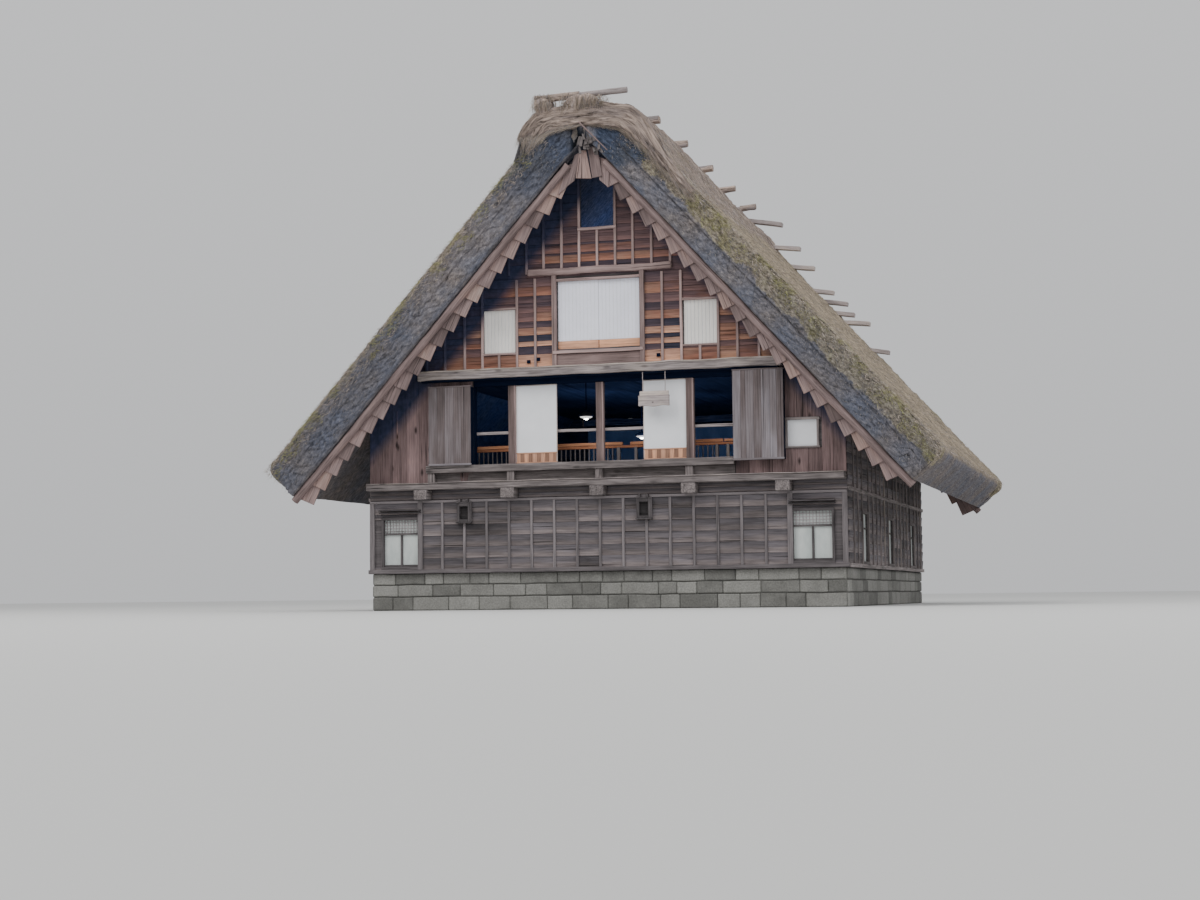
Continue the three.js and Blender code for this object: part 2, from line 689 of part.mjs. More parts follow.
function roof() {
  const group = new THREE.Group();
  group.add(
    piece('left_thatch', thatchSlope(-1), COLOURS.thatch),
    piece('right_thatch', join(thatchSlope(1), ...STEP_TIPS.map((tip) => stepPlank(tip, 0))), COLOURS.thatch),
    piece('ridge_saddle', ridgeSaddle(), COLOURS.straw),
  );
  for (let i = 0; i < LOG_COUNT; i += 1) {
    group.add(piece(`ridge_log_${i + 1}`, ridgeLog(LOG_FIRST_Y + i * LOG_PITCH), COLOURS.oldWood));
  }
  return group;
}

const house = new THREE.Group();
house.add(floors(), longSides(), frontGable(), rearGable(), roof());

export default house;
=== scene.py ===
"""Thatched farmhouse with a board gable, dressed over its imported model.

Laid out as an add-on: sizes and colours are properties, each group of pieces is an operator.
A wall is built in its own frame, where y = 0 is its outer face and -Y points away from the house,
and then set on its side of the house.
"""
import math
from collections import namedtuple

import bpy
import numpy as np
from mathutils import Matrix, Vector


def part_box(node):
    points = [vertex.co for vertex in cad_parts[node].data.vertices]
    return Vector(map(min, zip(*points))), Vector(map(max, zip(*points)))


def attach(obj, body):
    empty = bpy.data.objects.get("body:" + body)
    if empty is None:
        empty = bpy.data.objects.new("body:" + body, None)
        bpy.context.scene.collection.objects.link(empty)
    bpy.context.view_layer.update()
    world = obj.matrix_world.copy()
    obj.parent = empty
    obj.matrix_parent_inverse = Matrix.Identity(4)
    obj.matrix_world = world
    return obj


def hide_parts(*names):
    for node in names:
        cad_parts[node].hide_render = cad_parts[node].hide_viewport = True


bl_info = {
    "name": "Thatched farmhouse",
    "version": (1, 0, 0),
    "blender": (4, 5, 0),
    "location": "View3D > Sidebar > Farmhouse",
    "description": "Boards, beams, thatch and straw of a steep farmhouse",
    "category": "Object",
}

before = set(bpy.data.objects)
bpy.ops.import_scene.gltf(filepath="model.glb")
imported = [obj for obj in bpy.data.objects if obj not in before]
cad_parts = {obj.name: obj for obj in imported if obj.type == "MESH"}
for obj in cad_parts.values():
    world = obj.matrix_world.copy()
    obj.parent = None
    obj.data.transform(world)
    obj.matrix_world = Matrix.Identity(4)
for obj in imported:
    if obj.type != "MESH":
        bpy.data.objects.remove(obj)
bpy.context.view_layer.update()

# Places read from the frame
WALL_Y = -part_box("front_third_wall")[0].y
WALL_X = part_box("second_right_wall")[1].x
ROOF_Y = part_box("left_thatch")[1].y
EAVE_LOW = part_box("left_thatch")[0].z
FOOTING_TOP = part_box("stone_footing")[1].z
BEAM_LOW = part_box("second_floor")[0].z
SKIRT_LOW, SKIRT_TOP = (corner.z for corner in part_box("front_skirt_beam"))
PANEL_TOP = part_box("left_sliding_panel")[1].z
HEAD_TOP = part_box("front_head_beam")[1].z
LOFT_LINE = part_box("front_third_wall")[1].z
LOGS = tuple("ridge_log_" + str(i + 1) for i in range(6))

# Heights and places that no box gives
SILL_TOP = 0.88
LOW_RAIL = 2.33
END_POST = 4.07
VENTS = (-3.05, 0.97)
BAY_SILL = 3.12
HEAD_LOW = HEAD_TOP - 0.214
THATCH_TOP = 10.2
SADDLE_TOP = 10.56

# The roof: slope of its underside, where the poles lie, and how thick the straw is
SLOPE = 1.108
PITCH = math.atan(SLOPE)
RUN, FALL = math.cos(PITCH), math.sin(PITCH)
EAVE_X = 6.7
INNER_APEX = EAVE_LOW + SLOPE * EAVE_X
THATCH = 0.88
OUTER_APEX = INNER_APEX + THATCH / RUN

# Which way the halves of the roof and the gables face, then how each wall is turned and how far out it is
SIDES = {"left": -1, "right": 1}
FACING = {"front": -1, "rear": 1}
WALLS = {
    "front": (0, WALL_Y),
    "rear": (math.pi, WALL_Y),
    "left": (-math.pi / 2, WALL_X),
    "right": (math.pi / 2, WALL_X),
}

# Board rows of the upper gable as top and tone: left of the large window, right of it, and over it
LEFT_ROWS = (
    (5.46, 0.90), (5.64, 0.05), (5.745, 0.86), (5.88, 0.05), (6.04, 0.72), (6.175, 0.14), (6.36, 0.68),
    (6.495, 0.62), (6.58, 0.12), (6.73, 0.25), (6.92, 0.66), (LOFT_LINE, 0.34),
)
RIGHT_ROWS = (
    (5.446, 0.93), (5.57, 0.06), (5.69, 0.84), (5.786, 0.06), (5.934, 0.82), (6.097, 0.06), (6.281, 0.74),
    (6.451, 0.08), (6.651, 0.48), (6.886, 0.66), (LOFT_LINE, 0.26),
)
ATTIC_ROWS = (
    (7.41, 0.18), (7.57, 0.63), (7.62, 0.14), (7.78, 0.54), (7.83, 0.14), (8.01, 0.44), (8.18, 0.34),
    (8.35, 0.40), (8.53, 0.30), (8.70, 0.36), (8.88, 0.28), (9.05, 0.34), (9.23, 0.28), (9.40, 0.32),
    (9.70, 0.28),
)

# Openings of a gable as left, right, bottom, top
Opening = namedtuple("Opening", "left right bottom top")
LEAVES = Opening(-0.905, 0.905, 5.547, 7.01)
RIGHT_LOFT_WINDOW = Opening(1.87, 2.59, 5.52, 6.46)
LEFT_LOFT_WINDOW = Opening(-2.59, -1.87, 5.52, 6.46)
HATCH = Opening(-0.4, 0.4, 8.136, 9.6)
RIGHT_GROUND_WINDOW = Opening(4.116, 4.94, 0.935, 1.976)
LEFT_GROUND_WINDOW = Opening(-4.94, -4.116, 0.935, 1.976)
SMALL_WINDOW = Opening(4.04, 4.656, 3.3, 3.847)
POST_X = (-1.97, 0.0, 1.97)
REAR_BAY_X = (-2.96, -0.99, 0.99, 2.96)
REAR_BAY_WIDTH = 1.7
OPEN_BAYS = (-2.83, 2.92)
BEAM_X = (-3.97, -1.985, 0.0, 1.985, 3.97)
SIDE_WINDOW_Y = (-3.9, 0.0, 3.9)

# A board, beam or bar: its middle, its length, depth and height, how it is turned, and its tone
Board = namedtuple("Board", "middle size turn tone")
UNTURNED = Matrix.Identity(3)
UPRIGHT = Matrix.Rotation(-math.pi / 2, 3, "Y")
DEEP = Matrix.Rotation(math.pi / 2, 3, "Z")
LAP = Matrix.Rotation(math.radians(5), 3, "X")


def length_property(name, description, default):
    return bpy.props.FloatProperty(name=name, description=description, default=default, unit="LENGTH")


def colour_property(name, description, *default):
    return bpy.props.FloatVectorProperty(name=name, description=description, default=default, subtype="COLOR")


class FarmhouseSizes(bpy.types.PropertyGroup):
    """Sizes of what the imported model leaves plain"""

    ground_course: length_property("Low board course", "Height of a board on the ground storey", 0.225)
    board_depth: length_property("Board depth", "How thick the wall boards are", 0.022)
    batten: length_property("Batten", "Width of the upright battens", 0.055)
    ground_bay: length_property("Low bay", "Distance between battens on the ground storey", 0.505)
    pole: length_property("Barge pole", "Radius of the pole along the verge", 0.08)
    layer: length_property("Straw layer", "Thickness of a straw layer on the gable's cut face", 0.15)
    stalks: bpy.props.IntProperty(
        name="Loose stalks", description="Loose stalks on each half of the front gable", default=9000)


class FarmhouseColours(bpy.types.PropertyGroup):
    """Main colours, before grain and weather"""

    soot: colour_property("Sooty boards", "Darkest boards", 0.032, 0.034, 0.056)
    red_brown: colour_property("Red boards", "Most boards of the gable", 0.180, 0.108, 0.106)
    orange: colour_property("Fresh boards", "Lightest boards", 0.45, 0.255, 0.175)
    grey_wood: colour_property("Weathered wood", "Beams and battens", 0.30, 0.26, 0.255)
    low_wood: colour_property("Low boards", "Boards of the ground storey", 0.20, 0.178, 0.183)
    post_wood: colour_property("Brown posts", "Posts, battens and window frames", 0.27, 0.195, 0.185)
    verge_wood: colour_property("Verge wood", "Verge planks and poles", 0.255, 0.187, 0.180)
    straw: colour_property("Straw", "Weathered straw of the roof", 0.285, 0.243, 0.185)
    ridge_straw: colour_property("Ridge straw", "Newer straw on the ridge", 0.34, 0.282, 0.25)
    old_straw: colour_property("Old straw", "Cut face of the thatch", 0.158, 0.153, 0.165)
    moss: colour_property("Moss", "Moss along the verge", 0.185, 0.172, 0.085)
    paper: colour_property("Paper", "White panels and windows", 0.83, 0.84, 0.87)
    stone: colour_property("Footing stone", "Stones of the footing", 0.235, 0.232, 0.215)


def sizes():
    return bpy.context.scene.farmhouse_sizes


def colours():
    return bpy.context.scene.farmhouse_colours


# Small tools for meshes


def select_none():
    if bpy.context.object and bpy.context.object.mode != "OBJECT":
        bpy.ops.object.mode_set(mode="OBJECT")
    bpy.ops.object.select_all(action="DESELECT")


def select_only(piece):
    select_none()
    piece.select_set(True)
    bpy.context.view_layer.objects.active = piece


def edit(piece):
    select_only(piece)
    bpy.ops.object.mode_set(mode="EDIT")
    bpy.ops.mesh.select_all(action="SELECT")


def leave_edit():
    bpy.ops.object.mode_set(mode="OBJECT")


def points_of(piece, what="co"):
    """Places or normals of all the points, one row each"""
    values = np.zeros(len(piece.data.vertices) * 3)
    piece.data.vertices.foreach_get(what, values)
    return values.reshape(-1, 3)


def set_points(piece, points):
    piece.data.vertices.foreach_set("co", np.ascontiguousarray(points, dtype=float).ravel())
    piece.data.update()


def seeded(seed):
    return np.random.default_rng(seed)


def set_attributes(piece, **named):
    """One number or one vector for each point, or one number for all of them"""
    for name, values in named.items():
        values = np.asarray(values, dtype=float)
        if values.ndim == 0:
            values = np.full(len(piece.data.vertices), values)
        kind, field = ("FLOAT", "value") if values.ndim == 1 else ("FLOAT_VECTOR", "vector")
        piece.data.attributes.new(name, kind, "POINT").data.foreach_set(field, values.ravel())


def swell(points, size, seed):
    """Smooth uneven field from about -1 to 1 whose bumps are about size across, in one or three numbers"""
    draw = seeded(seed)
    scaled = points / np.asarray(size, dtype=float)
    total = np.zeros(len(points))
    for _ in range(9):
        direction = draw.normal(size=3)
        direction *= 2 * math.pi * draw.uniform(0.55, 1.6) / np.linalg.norm(direction)
        total += np.sin(scaled @ direction + draw.uniform(0, 2 * math.pi))
    return total / 4.2


def step(low, high, value):
    """0 below low, 1 above high, smooth between"""
    x = np.clip((value - low) / (high - low), 0, 1)
    return x * x * (3 - 2 * x)


def keep(piece, slot, look, *replaced, wall=None):
    """Sets the piece on its wall, gives it its finish, and fixes it to the house; its slot is not used"""
    if wall:
        set_on(piece, wall)
    piece.data.materials.clear()
    piece.data.materials.append(finish(look))
    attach(piece, "root")
    if replaced:
        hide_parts(*replaced)


def set_on(piece, wall):
    """Moves a piece from the wall's own frame to its side of the house"""
    turn, out = WALLS[wall]
    piece.data.transform(Matrix.Rotation(turn, 4, "Z") @ Matrix.Translation((0, -out, 0)))
    piece.data.update()


# Boards and bars


def new_piece(name, points, corners):
    mesh = bpy.data.meshes.new(name)
    mesh.from_pydata(points.tolist(), [], corners)
    piece = bpy.data.objects.new(name, mesh)
    bpy.context.scene.collection.objects.link(piece)
    return piece


def new_pattern(name, cuts):
    """A bar one unit each way with eased edges, cut across so that it can wander along its length"""
    select_none()
    bpy.ops.mesh.primitive_cube_add(size=1)
    pattern = bpy.context.object
    pattern.name = name
    edit(pattern)
    bpy.ops.mesh.bevel(offset=0.1, segments=1)
    for i in range(cuts):
        bpy.ops.mesh.select_all(action="SELECT")
        bpy.ops.mesh.bisect(plane_co=(-0.4 + 0.8 * (i + 1) / (cuts + 1), 0, 0), plane_no=(1, 0, 0))
    leave_edit()
    return pattern


def stretched(points, size, ease):
    """The pattern at its real size, with edges eased by ease whatever the size"""
    half = np.asarray(size) / 2
    ease = np.minimum(ease, half * 0.45)
    inward = 0.5 - np.abs(points)
    near = half - inward * ease / 0.1
    inner = np.abs(points) / 0.4 * (half - ease)
    return np.sign(points) * np.where(inward < 0.1001, near, inner)


def lay(name, boards, cuts=3, ease=0.004, wander=0.003, seed=1):
    """Copies of one pattern as one piece, each with its own size, place, grain and tone"""
    pattern = new_pattern(name + "_pattern", cuts)
    unit = points_of(pattern)
    faces = [list(face.vertices) for face in pattern.data.polygons]
    bpy.data.objects.remove(pattern)
    draw = seeded(seed)
    points, grain, tone, rise, corners = [], [], [], [], []
    for i, board in enumerate(boards):
        local = stretched(unit, board.size, ease)
        points.append(local @ np.array(board.turn).T + np.array(board.middle))
        grain.append(local + draw.uniform(-40, 40, 3))
        tone.append(np.full(len(local), board.tone))
        rise.append(local[:, 2] / board.size[2] + 0.5)
        corners += [[corner + i * len(unit) for corner in face] for face in faces]
    points = np.concatenate(points)
    for axis, stray in enumerate((0.3, 1, 1)):
        points[:, axis] += wander * stray * swell(points, 0.9, seed + axis)
    piece = new_piece(name, points, corners)
    set_attributes(piece, grain=np.concatenate(grain), tone=np.concatenate(tone), rise=np.concatenate(rise))
    return piece


def build(name, boards, slot, look, *replaced, wall=None, under_roof=False, **shape):
    """Lays boards as one piece and keeps it"""
    piece = lay(name, boards, **shape)
    if under_roof:
        trim_under_roof(piece)
    keep(piece, slot, look, *replaced, wall=wall)


def box_board(x0, x1, y0, y1, z0, z1, tone, order, turn):
    """A board between two corners; order says which extents are its length, depth and height"""
    extents = (x1 - x0, y1 - y0, z1 - z0)
    middle = ((x0 + x1) / 2, (y0 + y1) / 2, (z0 + z1) / 2)
    return Board(middle, tuple(extents[axis] for axis in order), turn, tone)


def block(x0, x1, y0, y1, z0, z1, tone=0.5):
    """A lying board"""
    return box_board(x0, x1, y0, y1, z0, z1, tone, (0, 1, 2), UNTURNED)


def stud(x0, x1, y0, y1, z0, z1, tone=0.5):
    """A standing board, whose grain runs up"""
    return box_board(x0, x1, y0, y1, z0, z1, tone, (2, 1, 0), UPRIGHT)


def deep(x0, x1, y0, y1, z0, z1, tone=0.5):
    """A board that runs from front to back"""
    return box_board(x0, x1, y0, y1, z0, z1, tone, (1, 0, 2), DEEP)


def trim_under_roof(piece, gap=0.004):
    """Cuts a gable's boards along the underside of both slopes and closes the cuts"""
    for side in (-1, 1):
        away = Vector((side * FALL, 0, RUN))
        edit(piece)
        place = Vector((0, 0, INNER_APEX)) - away * gap
        bpy.ops.mesh.bisect(plane_co=place, plane_no=away, clear_outer=True, use_fill=True)
        leave_edit()


def bar(x, half, y0, y1, z0, z1, tone=0.5):
    """A standing board by its middle and half its width"""
    return stud(x - half, x + half, y0, y1, z0, z1, tone)


def plank(x, half, y0, y1, z0, z1, tone=0.5):
    """A lying board by its middle and half its length"""
    return block(x - half, x + half, y0, y1, z0, z1, tone)


def shares(start, end, count):
    """Evenly spaced places from start to end, both included"""
    return [start + (end - start) * i / count for i in range(count + 1)]


def levels(low, high, height):
    """Rows of about that height as pairs of bottom and top"""
    at = shares(low, high, max(1, round((high - low) / height)))
    return list(zip(at[:-1], at[1:]))


def courses(rows, uprights, openings, draw, tones, longest):
    """Lapped boards between uprights, left out where an opening is; each board spans up to longest bays"""
    boards = []
    depth = sizes().board_depth
    for i, (z0, z1) in enumerate(rows):
        spans = []
        for x0, x1 in zip(uprights[:-1], uprights[1:]):
            bottom, top = z0, z1
            for hole in openings:
                if hole.left < (x0 + x1) / 2 < hole.right:
                    if bottom >= hole.bottom - 0.01:
                        bottom = max(bottom, min(hole.top, top))
                    else:
                        top = min(top, hole.bottom)
            if top - bottom > 0.025:
                spans.append((x0, x1, bottom, top, top - bottom > (z1 - z0) * 0.98))
        while spans:
            x0, x1, bottom, top, whole = spans.pop(0)
            run = int(draw.integers(1, longest + 1))
            while run > 1 and spans and whole and spans[0][4] and abs(spans[0][0] - x1) < 0.01:
                x1 = spans.pop(0)[1]
                run -= 1
            lean = LAP @ Matrix.Rotation(draw.normal(0, 0.005), 3, "Y")
            middle = ((x0 + x1) / 2, -depth * 0.6 + draw.normal(0, 0.002), (bottom + top) / 2)
            size = (x1 - x0 - 0.004, depth, top - bottom - 0.003)
            boards.append(Board(middle, size, lean, float(np.clip(tones(i, middle, draw), 0, 1))))
    return boards


# Round and free shapes


def bend_grid(name, across, along, place, closed=True, smooth=True):
    """A grid moved to place(u, v), with u round the section and v along it; its ends are closed"""
    select_none()
    bpy.ops.mesh.primitive_grid_add(x_subdivisions=across, y_subdivisions=along, size=1)
    piece = bpy.context.object
    piece.name = name
    piece.data.name = name
    flat = points_of(piece)
    u = np.rint((flat[:, 0] + 0.5) * across).astype(int)
    v = np.rint((flat[:, 1] + 0.5) * along).astype(int)
    set_points(piece, place(u, v))
    edit(piece)
    if closed:
        bpy.ops.mesh.remove_doubles(threshold=1e-4)
    bpy.ops.mesh.fill_holes(sides=0)
    bpy.ops.mesh.select_all(action="SELECT")
    bpy.ops.mesh.normals_make_consistent(inside=False)
    leave_edit()
    if smooth:
        bpy.ops.object.shade_smooth_by_angle(angle=math.radians(50))
    return piece


def pole(name, start, end, radius, around=14, every=0.12, stray=0.012, taper=0.0, seed=3):
    """A round pole with uneven bark, its grain along its length"""
    start, end = np.asarray(start, float), np.asarray(end, float)
    length = np.linalg.norm(end - start)
    along = (end - start) / length
    side = np.cross(along, (0.0, 1.0, 0.0) if abs(along[1]) < 0.9 else (1.0, 0.0, 0.0))
    side /= np.linalg.norm(side)
    up = np.cross(along, side)
    rings = max(4, int(length / every))

    def place(u, v):
        angle = 2 * math.pi * (u % around) / around
        at = v / rings
        ring = np.cos(angle)[:, None] * side + np.sin(angle)[:, None] * up
        axis = start + at[:, None] * (end - start)
        fat = radius * (1 - taper * at) * (1 + 0.08 * swell(axis + ring * radius, radius * 5, seed))
        sway = stray * swell(axis, 1.6, seed + 1)
        stagger = stray * swell(axis, 2.1, seed + 2)
        return axis + ring * fat[:, None] + sway[:, None] * up + stagger[:, None] * side

    piece = bend_grid(name, around, rings, place)
    away = points_of(piece) - start
    set_attributes(piece, grain=np.stack([away @ along, away @ side, away @ up], axis=1) + seed, tone=0.5)
    return piece


def joined(name, pieces):
    select_none()
    for piece in pieces:
        piece.select_set(True)
    bpy.context.view_layer.objects.active = pieces[0]
    if len(pieces) > 1:
        bpy.ops.object.join()
    pieces[0].name = name
    pieces[0].data.name = name
    return pieces[0]


def blade(sides=3):
    """Points and faces of a stalk one unit long that narrows to a point"""
    angles = [2 * math.pi * j / sides for j in range(sides)]
    faces = [tuple(reversed(range(sides)))] + [(j, (j + 1) % sides, sides) for j in range(sides)]
    return np.array([*((math.cos(angle), math.sin(angle), 0) for angle in angles), (0, 0, 1)]), faces


def strew(name, roots, directions, lengths, widths, tones, bow, seed):
    """Loose stalks as one piece: each starts at a root, leans its own way and droops"""
    unit, faces = blade()
    count = len(roots)
    directions = directions / np.linalg.norm(directions, axis=1)[:, None]
    helper = np.where(np.abs(directions[:, 2:3]) < 0.9, [[0.0, 0.0, 1.0]], [[1.0, 0.0, 0.0]])
    side = np.cross(directions, helper)
    side /= np.linalg.norm(side, axis=1)[:, None]
    other = np.cross(directions, side)
    bend = seeded(seed).uniform(0.4, 1.0, count) * bow
    x, y, z = (unit[:, axis][None, :, None] for axis in range(3))
    directions, side, other, wide = directions[:, None], side[:, None], other[:, None], widths[:, None, None]
    points = roots[:, None] + directions * z * lengths[:, None, None]
    points = points + side * x * wide + other * y * wide * 0.5
    points[:, :, 2] -= (unit[:, 2] ** 2)[None, :] * (bend * lengths)[:, None]
    starts = np.arange(count) * len(unit)
    corners = [tuple(corner + start for corner in face) for start in starts.tolist() for face in faces]
    piece = new_piece(name, points.reshape(-1, 3), corners)
    grain = np.repeat(roots * 3, len(unit), axis=0)
    grain[:, 0] += np.tile(unit[:, 2], count)
    set_attributes(piece, grain=grain, tone=np.repeat(tones, len(unit)))
    keep(piece, "straw", "stalks")


# Finishes


class Sheet:
    """A material's node sheet, filled in by short calls"""

    def __init__(self, name, roughness=0.85, gloss=0.25):
        self.material = bpy.data.materials.new(name)
        self.material.use_nodes = True
        self.nodes = self.material.node_tree.nodes
        self.links = self.material.node_tree.links
        self.shader = self.nodes["Principled BSDF"].inputs
        self.shader["Roughness"].default_value = roughness
        self.shader["Specular IOR Level"].default_value = gloss
        self.place = self.add("TexCoord", "Object")

    def put(self, socket, value):
        if isinstance(value, bpy.types.NodeSocket):
            self.links.new(value, socket)
        elif hasattr(value, "__len__") and len(value) == 3 and socket.type == "RGBA":
            socket.default_value = (*value, 1)
        else:
            socket.default_value = value

    def add(self, kind, result, *values, **settings):
        """Adds a node, sets its options and inputs, and returns one of its outputs"""
        node = self.nodes.new("ShaderNode" + kind)
        named = {key: settings.pop(key) for key in list(settings) if key[0].isupper()}
        for key, value in settings.items():
            setattr(node, key, value)
        for key, value in (*enumerate(values), *named.items()):
            self.put(node.inputs[key], value)
        return node.outputs[result]

    def attribute(self, name, result="Fac"):
        return self.add("Attribute", result, attribute_name=name)

    def scaled(self, vector, scale, turn=(0, 0, 0)):
        return self.add("Mapping", "Vector", vector, (0, 0, 0), turn, scale)

    def noise(self, vector, scale=1.0, detail=4.0, rough=0.6, twist=0.0):
        """Noise of one scale, or of one for each axis"""
        if hasattr(scale, "__len__"):
            vector, scale = self.scaled(vector, scale), 1.0
        return self.add("TexNoise", "Fac", Vector=vector, Scale=scale, Detail=detail, Roughness=rough,
                        Distortion=twist)

    def math(self, operation, a, b=0.0, clamp=False):
        return self.add("Math", 0, a, b, operation=operation, use_clamp=clamp)

    def sum(self, a, b, clamp=False):
        return self.math("ADD", a, b, clamp)

    def product(self, a, b):
        return self.math("MULTIPLY", a, b)

    def uneven(self, value, amount):
        """How far a value lies from a half, times amount"""
        return self.product(self.math("SUBTRACT", value, 0.5), amount)

    def ramp(self, value, *stops):
        """Colour or grey along a value; each stop is a place and a colour or a number"""
        node = self.nodes.new("ShaderNodeValToRGB")
        elements = node.color_ramp.elements
        while len(elements) < len(stops):
            elements.new(0.5)
        for element, (at, colour) in zip(elements, stops):
            element.position = at
            element.color = (*colour, 1) if hasattr(colour, "__len__") else (colour, colour, colour, 1)
        self.links.new(value, node.inputs[0])
        return node.outputs[0]

    def mix(self, amount, a, b, how="MIX"):
        node = self.nodes.new("ShaderNodeMix")
        node.data_type = "RGBA"
        node.blend_type = how
        for socket, value in ((0, amount), (6, a), (7, b)):
            self.put(node.inputs[socket], value)
        return node.outputs[2]

    def times(self, a, b, amount=1.0):
        return self.mix(amount, a, b, "MULTIPLY")

    def done(self, colour, height=None, depth=0.0, strength=1.0):
        """Sets the colour and the bumps, and returns the material"""
        self.put(self.shader["Base Color"], colour)
        if height is not None:
            bump = self.add("Bump", "Normal", Strength=strength, Distance=depth, Height=height)
            self.put(self.shader["Normal"], bump)
        return self.material


def shade(colour, factor):
    return tuple(max(0.0, min(1.0, channel * factor)) for channel in colour)


def blended(a, b, amount):
    return tuple(x + (y - x) * amount for x, y in zip(a, b))


def ladder(colour, *steps):
    """Stops of a ramp; each step is a place and how light the colour is there"""
    return tuple((at, shade(colour, light)) for at, light in steps)


def painted_eave_shade(sheet, colour):
    """Painted shade close under the roof: darker and bluer there, less so at the upper right"""
    split = sheet.nodes.new("ShaderNodeSeparateXYZ")
    sheet.put(split.inputs[0], sheet.place)
    x, _, z = split.outputs
    room = sheet.math("SUBTRACT", INNER_APEX, sheet.sum(sheet.product(sheet.math("ABSOLUTE", x), SLOPE), z))
    upper = sheet.ramp(sheet.product(z, 0.1), (0.505, 0.06), (0.525, 0.15))
    lit = sheet.product(upper, sheet.ramp(sheet.sum(sheet.product(x, 0.5), 0.5), (0.3, 0.0), (0.7, 1.0)))
    near = sheet.ramp(sheet.sum(sheet.product(room, 0.5), lit), (0.33, 0.94), (0.52, 0.0))
    shade_blue = sheet.ramp(sheet.noise(sheet.place, 9.0), (0.32, (0.006, 0.017, 0.046)),
                       (0.68, (0.028, 0.038, 0.088)))
    dark = sheet.mix(0.86, sheet.times(colour, (0.17, 0.24, 0.46)), shade_blue)
    return sheet.mix(near, colour, dark)


def wood_finish(name, stops, along, across, dirt, by_board=True, knots=0.0, lap=0.0, eave_shade=False,
                mottle=1.0, gloss=0.25, turn=(0, 0, 0)):
    """Weathered wood: streaks along the grain, tone by board, cracks and knots, painted shade at the top of
    each lap and painted light at its foot, and painted shade under the eaves where asked
    """
    sheet = Sheet(name, 0.82, gloss)
    start = sheet.attribute("grain", "Vector") if by_board else sheet.scaled(sheet.place, (1, 1, 1), turn)
    fibres = sheet.noise(start, (along, across, across), 6, 0.65)
    broad = sheet.noise(start, (along * 0.6, across * 0.16, across * 0.16), 4, 0.6, 0.6)
    blotch = sheet.noise(start, (1.4, 3.0, 3.0), 3, 0.5)
    tone = sheet.attribute("tone") if by_board else sheet.noise(sheet.place, 0.7, 2)
    tone = sheet.sum(tone, sheet.uneven(broad, 0.55 * mottle))
    tone = sheet.sum(tone, sheet.uneven(blotch, 0.5 * mottle), True)
    colour = sheet.times(sheet.ramp(tone, *stops), sheet.ramp(fibres, (0.28, 1 - dirt), (0.62, 1.12)))
    cracks = sheet.noise(start, (along * 0.35, across * 1.1, across * 1.1), 2, 0.5)
    crack = sheet.ramp(cracks, (0.30, 0.25), (0.36, 1.0))
    colour = sheet.times(colour, crack)
    if knots:
        spots = sheet.add("TexVoronoi", "Distance", Vector=sheet.scaled(start, (2.0, 5.0, 5.0)), Scale=1.0)
        colour = sheet.times(colour, sheet.ramp(spots, (0.08, 0.12), (0.22, 1.0)), knots)
    # Painted shadow under each lap at a board's top, and painted light along its foot
    if lap:
        rise = sheet.sum(sheet.attribute("rise"), sheet.uneven(blotch, 0.9))
        lap_light_and_shade = sheet.ramp(rise, (0.02, (1.75, 1.6, 1.5)), (0.30, (1.25, 1.14, 1.04)),
                          (0.58, (0.60, 0.60, 0.68)), (0.95, (0.26, 0.29, 0.38)))
        colour = sheet.times(colour, lap_light_and_shade, lap)
    # Painted shade on boards close under the roof
    if eave_shade:
        colour = painted_eave_shade(sheet, colour)
    return sheet.done(colour, sheet.sum(fibres, sheet.product(crack, 0.6)), 0.006, 0.7)


def wood_stops(kind, light):
    """Colours of a kind of wood by tone, from its darkest board to its lightest"""
    c = colours()
    dull = blended(c.red_brown, c.grey_wood, 0.2)
    stops = {
        "red": ((0.0, c.soot), (0.22, blended(c.soot, c.red_brown, 0.5)), (0.5, c.red_brown),
                (0.63, (0.30, 0.140, 0.098)), (0.76, blended(c.red_brown, c.orange, 0.8)),
                *ladder(c.orange, (0.9, 1.35), (1.0, 1.6))),
        "tall": ((0.0, c.soot), *ladder(dull, (0.25, 0.5), (0.55, 0.95), (0.8, 1.35)),
                 (1.0, shade(blended(dull, c.orange, 0.3), 1.5))),
        "grey": (*ladder(c.grey_wood, (0.0, 0.28), (0.35, 0.6), (0.6, 1.0)),
                 (0.85, shade(blended(c.grey_wood, (0.42, 0.36, 0.29), 0.5), 1.2)),
                 (1.0, shade(c.grey_wood, 1.7))),
        "ground": ladder(c.low_wood, (0.0, 0.22), (0.3, 0.6), (0.6, 1.0), (0.85, 1.35), (1.0, 1.8)),
        "post": ladder(c.post_wood, (0.0, 0.3), (0.35, 0.65), (0.6, 1.0), (0.85, 1.35), (1.0, 1.8)),
        "verge": (*ladder(c.verge_wood, (0.0, 0.35), (0.35, 0.7), (0.55, 1.0)),
                  (0.8, blended(c.verge_wood, (0.36, 0.24, 0.20), 0.6)), (1.0, (0.40, 0.33, 0.30))),
        "shutter": ((0.0, (0.055, 0.043, 0.042)), (0.35, (0.135, 0.108, 0.108)), (0.6, (0.21, 0.185, 0.195)),
                    (0.85, (0.30, 0.28, 0.31)), (1.0, (0.42, 0.40, 0.43))),
        "orange": (*ladder(c.orange, (0.0, 0.3), (0.4, 0.8), (0.65, 1.2)), (1.0, (0.78, 0.41, 0.25))),
        "rail": ((0.0, (0.16, 0.055, 0.030)), (0.4, (0.40, 0.155, 0.080)), (0.7, (0.60, 0.26, 0.135)),
                 (1.0, (0.72, 0.36, 0.20))),
        "sooty_and_shaded": ((0.0, (0.003, 0.007, 0.022)), (0.5, (0.007, 0.013, 0.034)), (1.0, (0.03, 0.035, 0.06))),
    }
    return [(at, shade(colour, light)) for at, colour in stops[kind]]


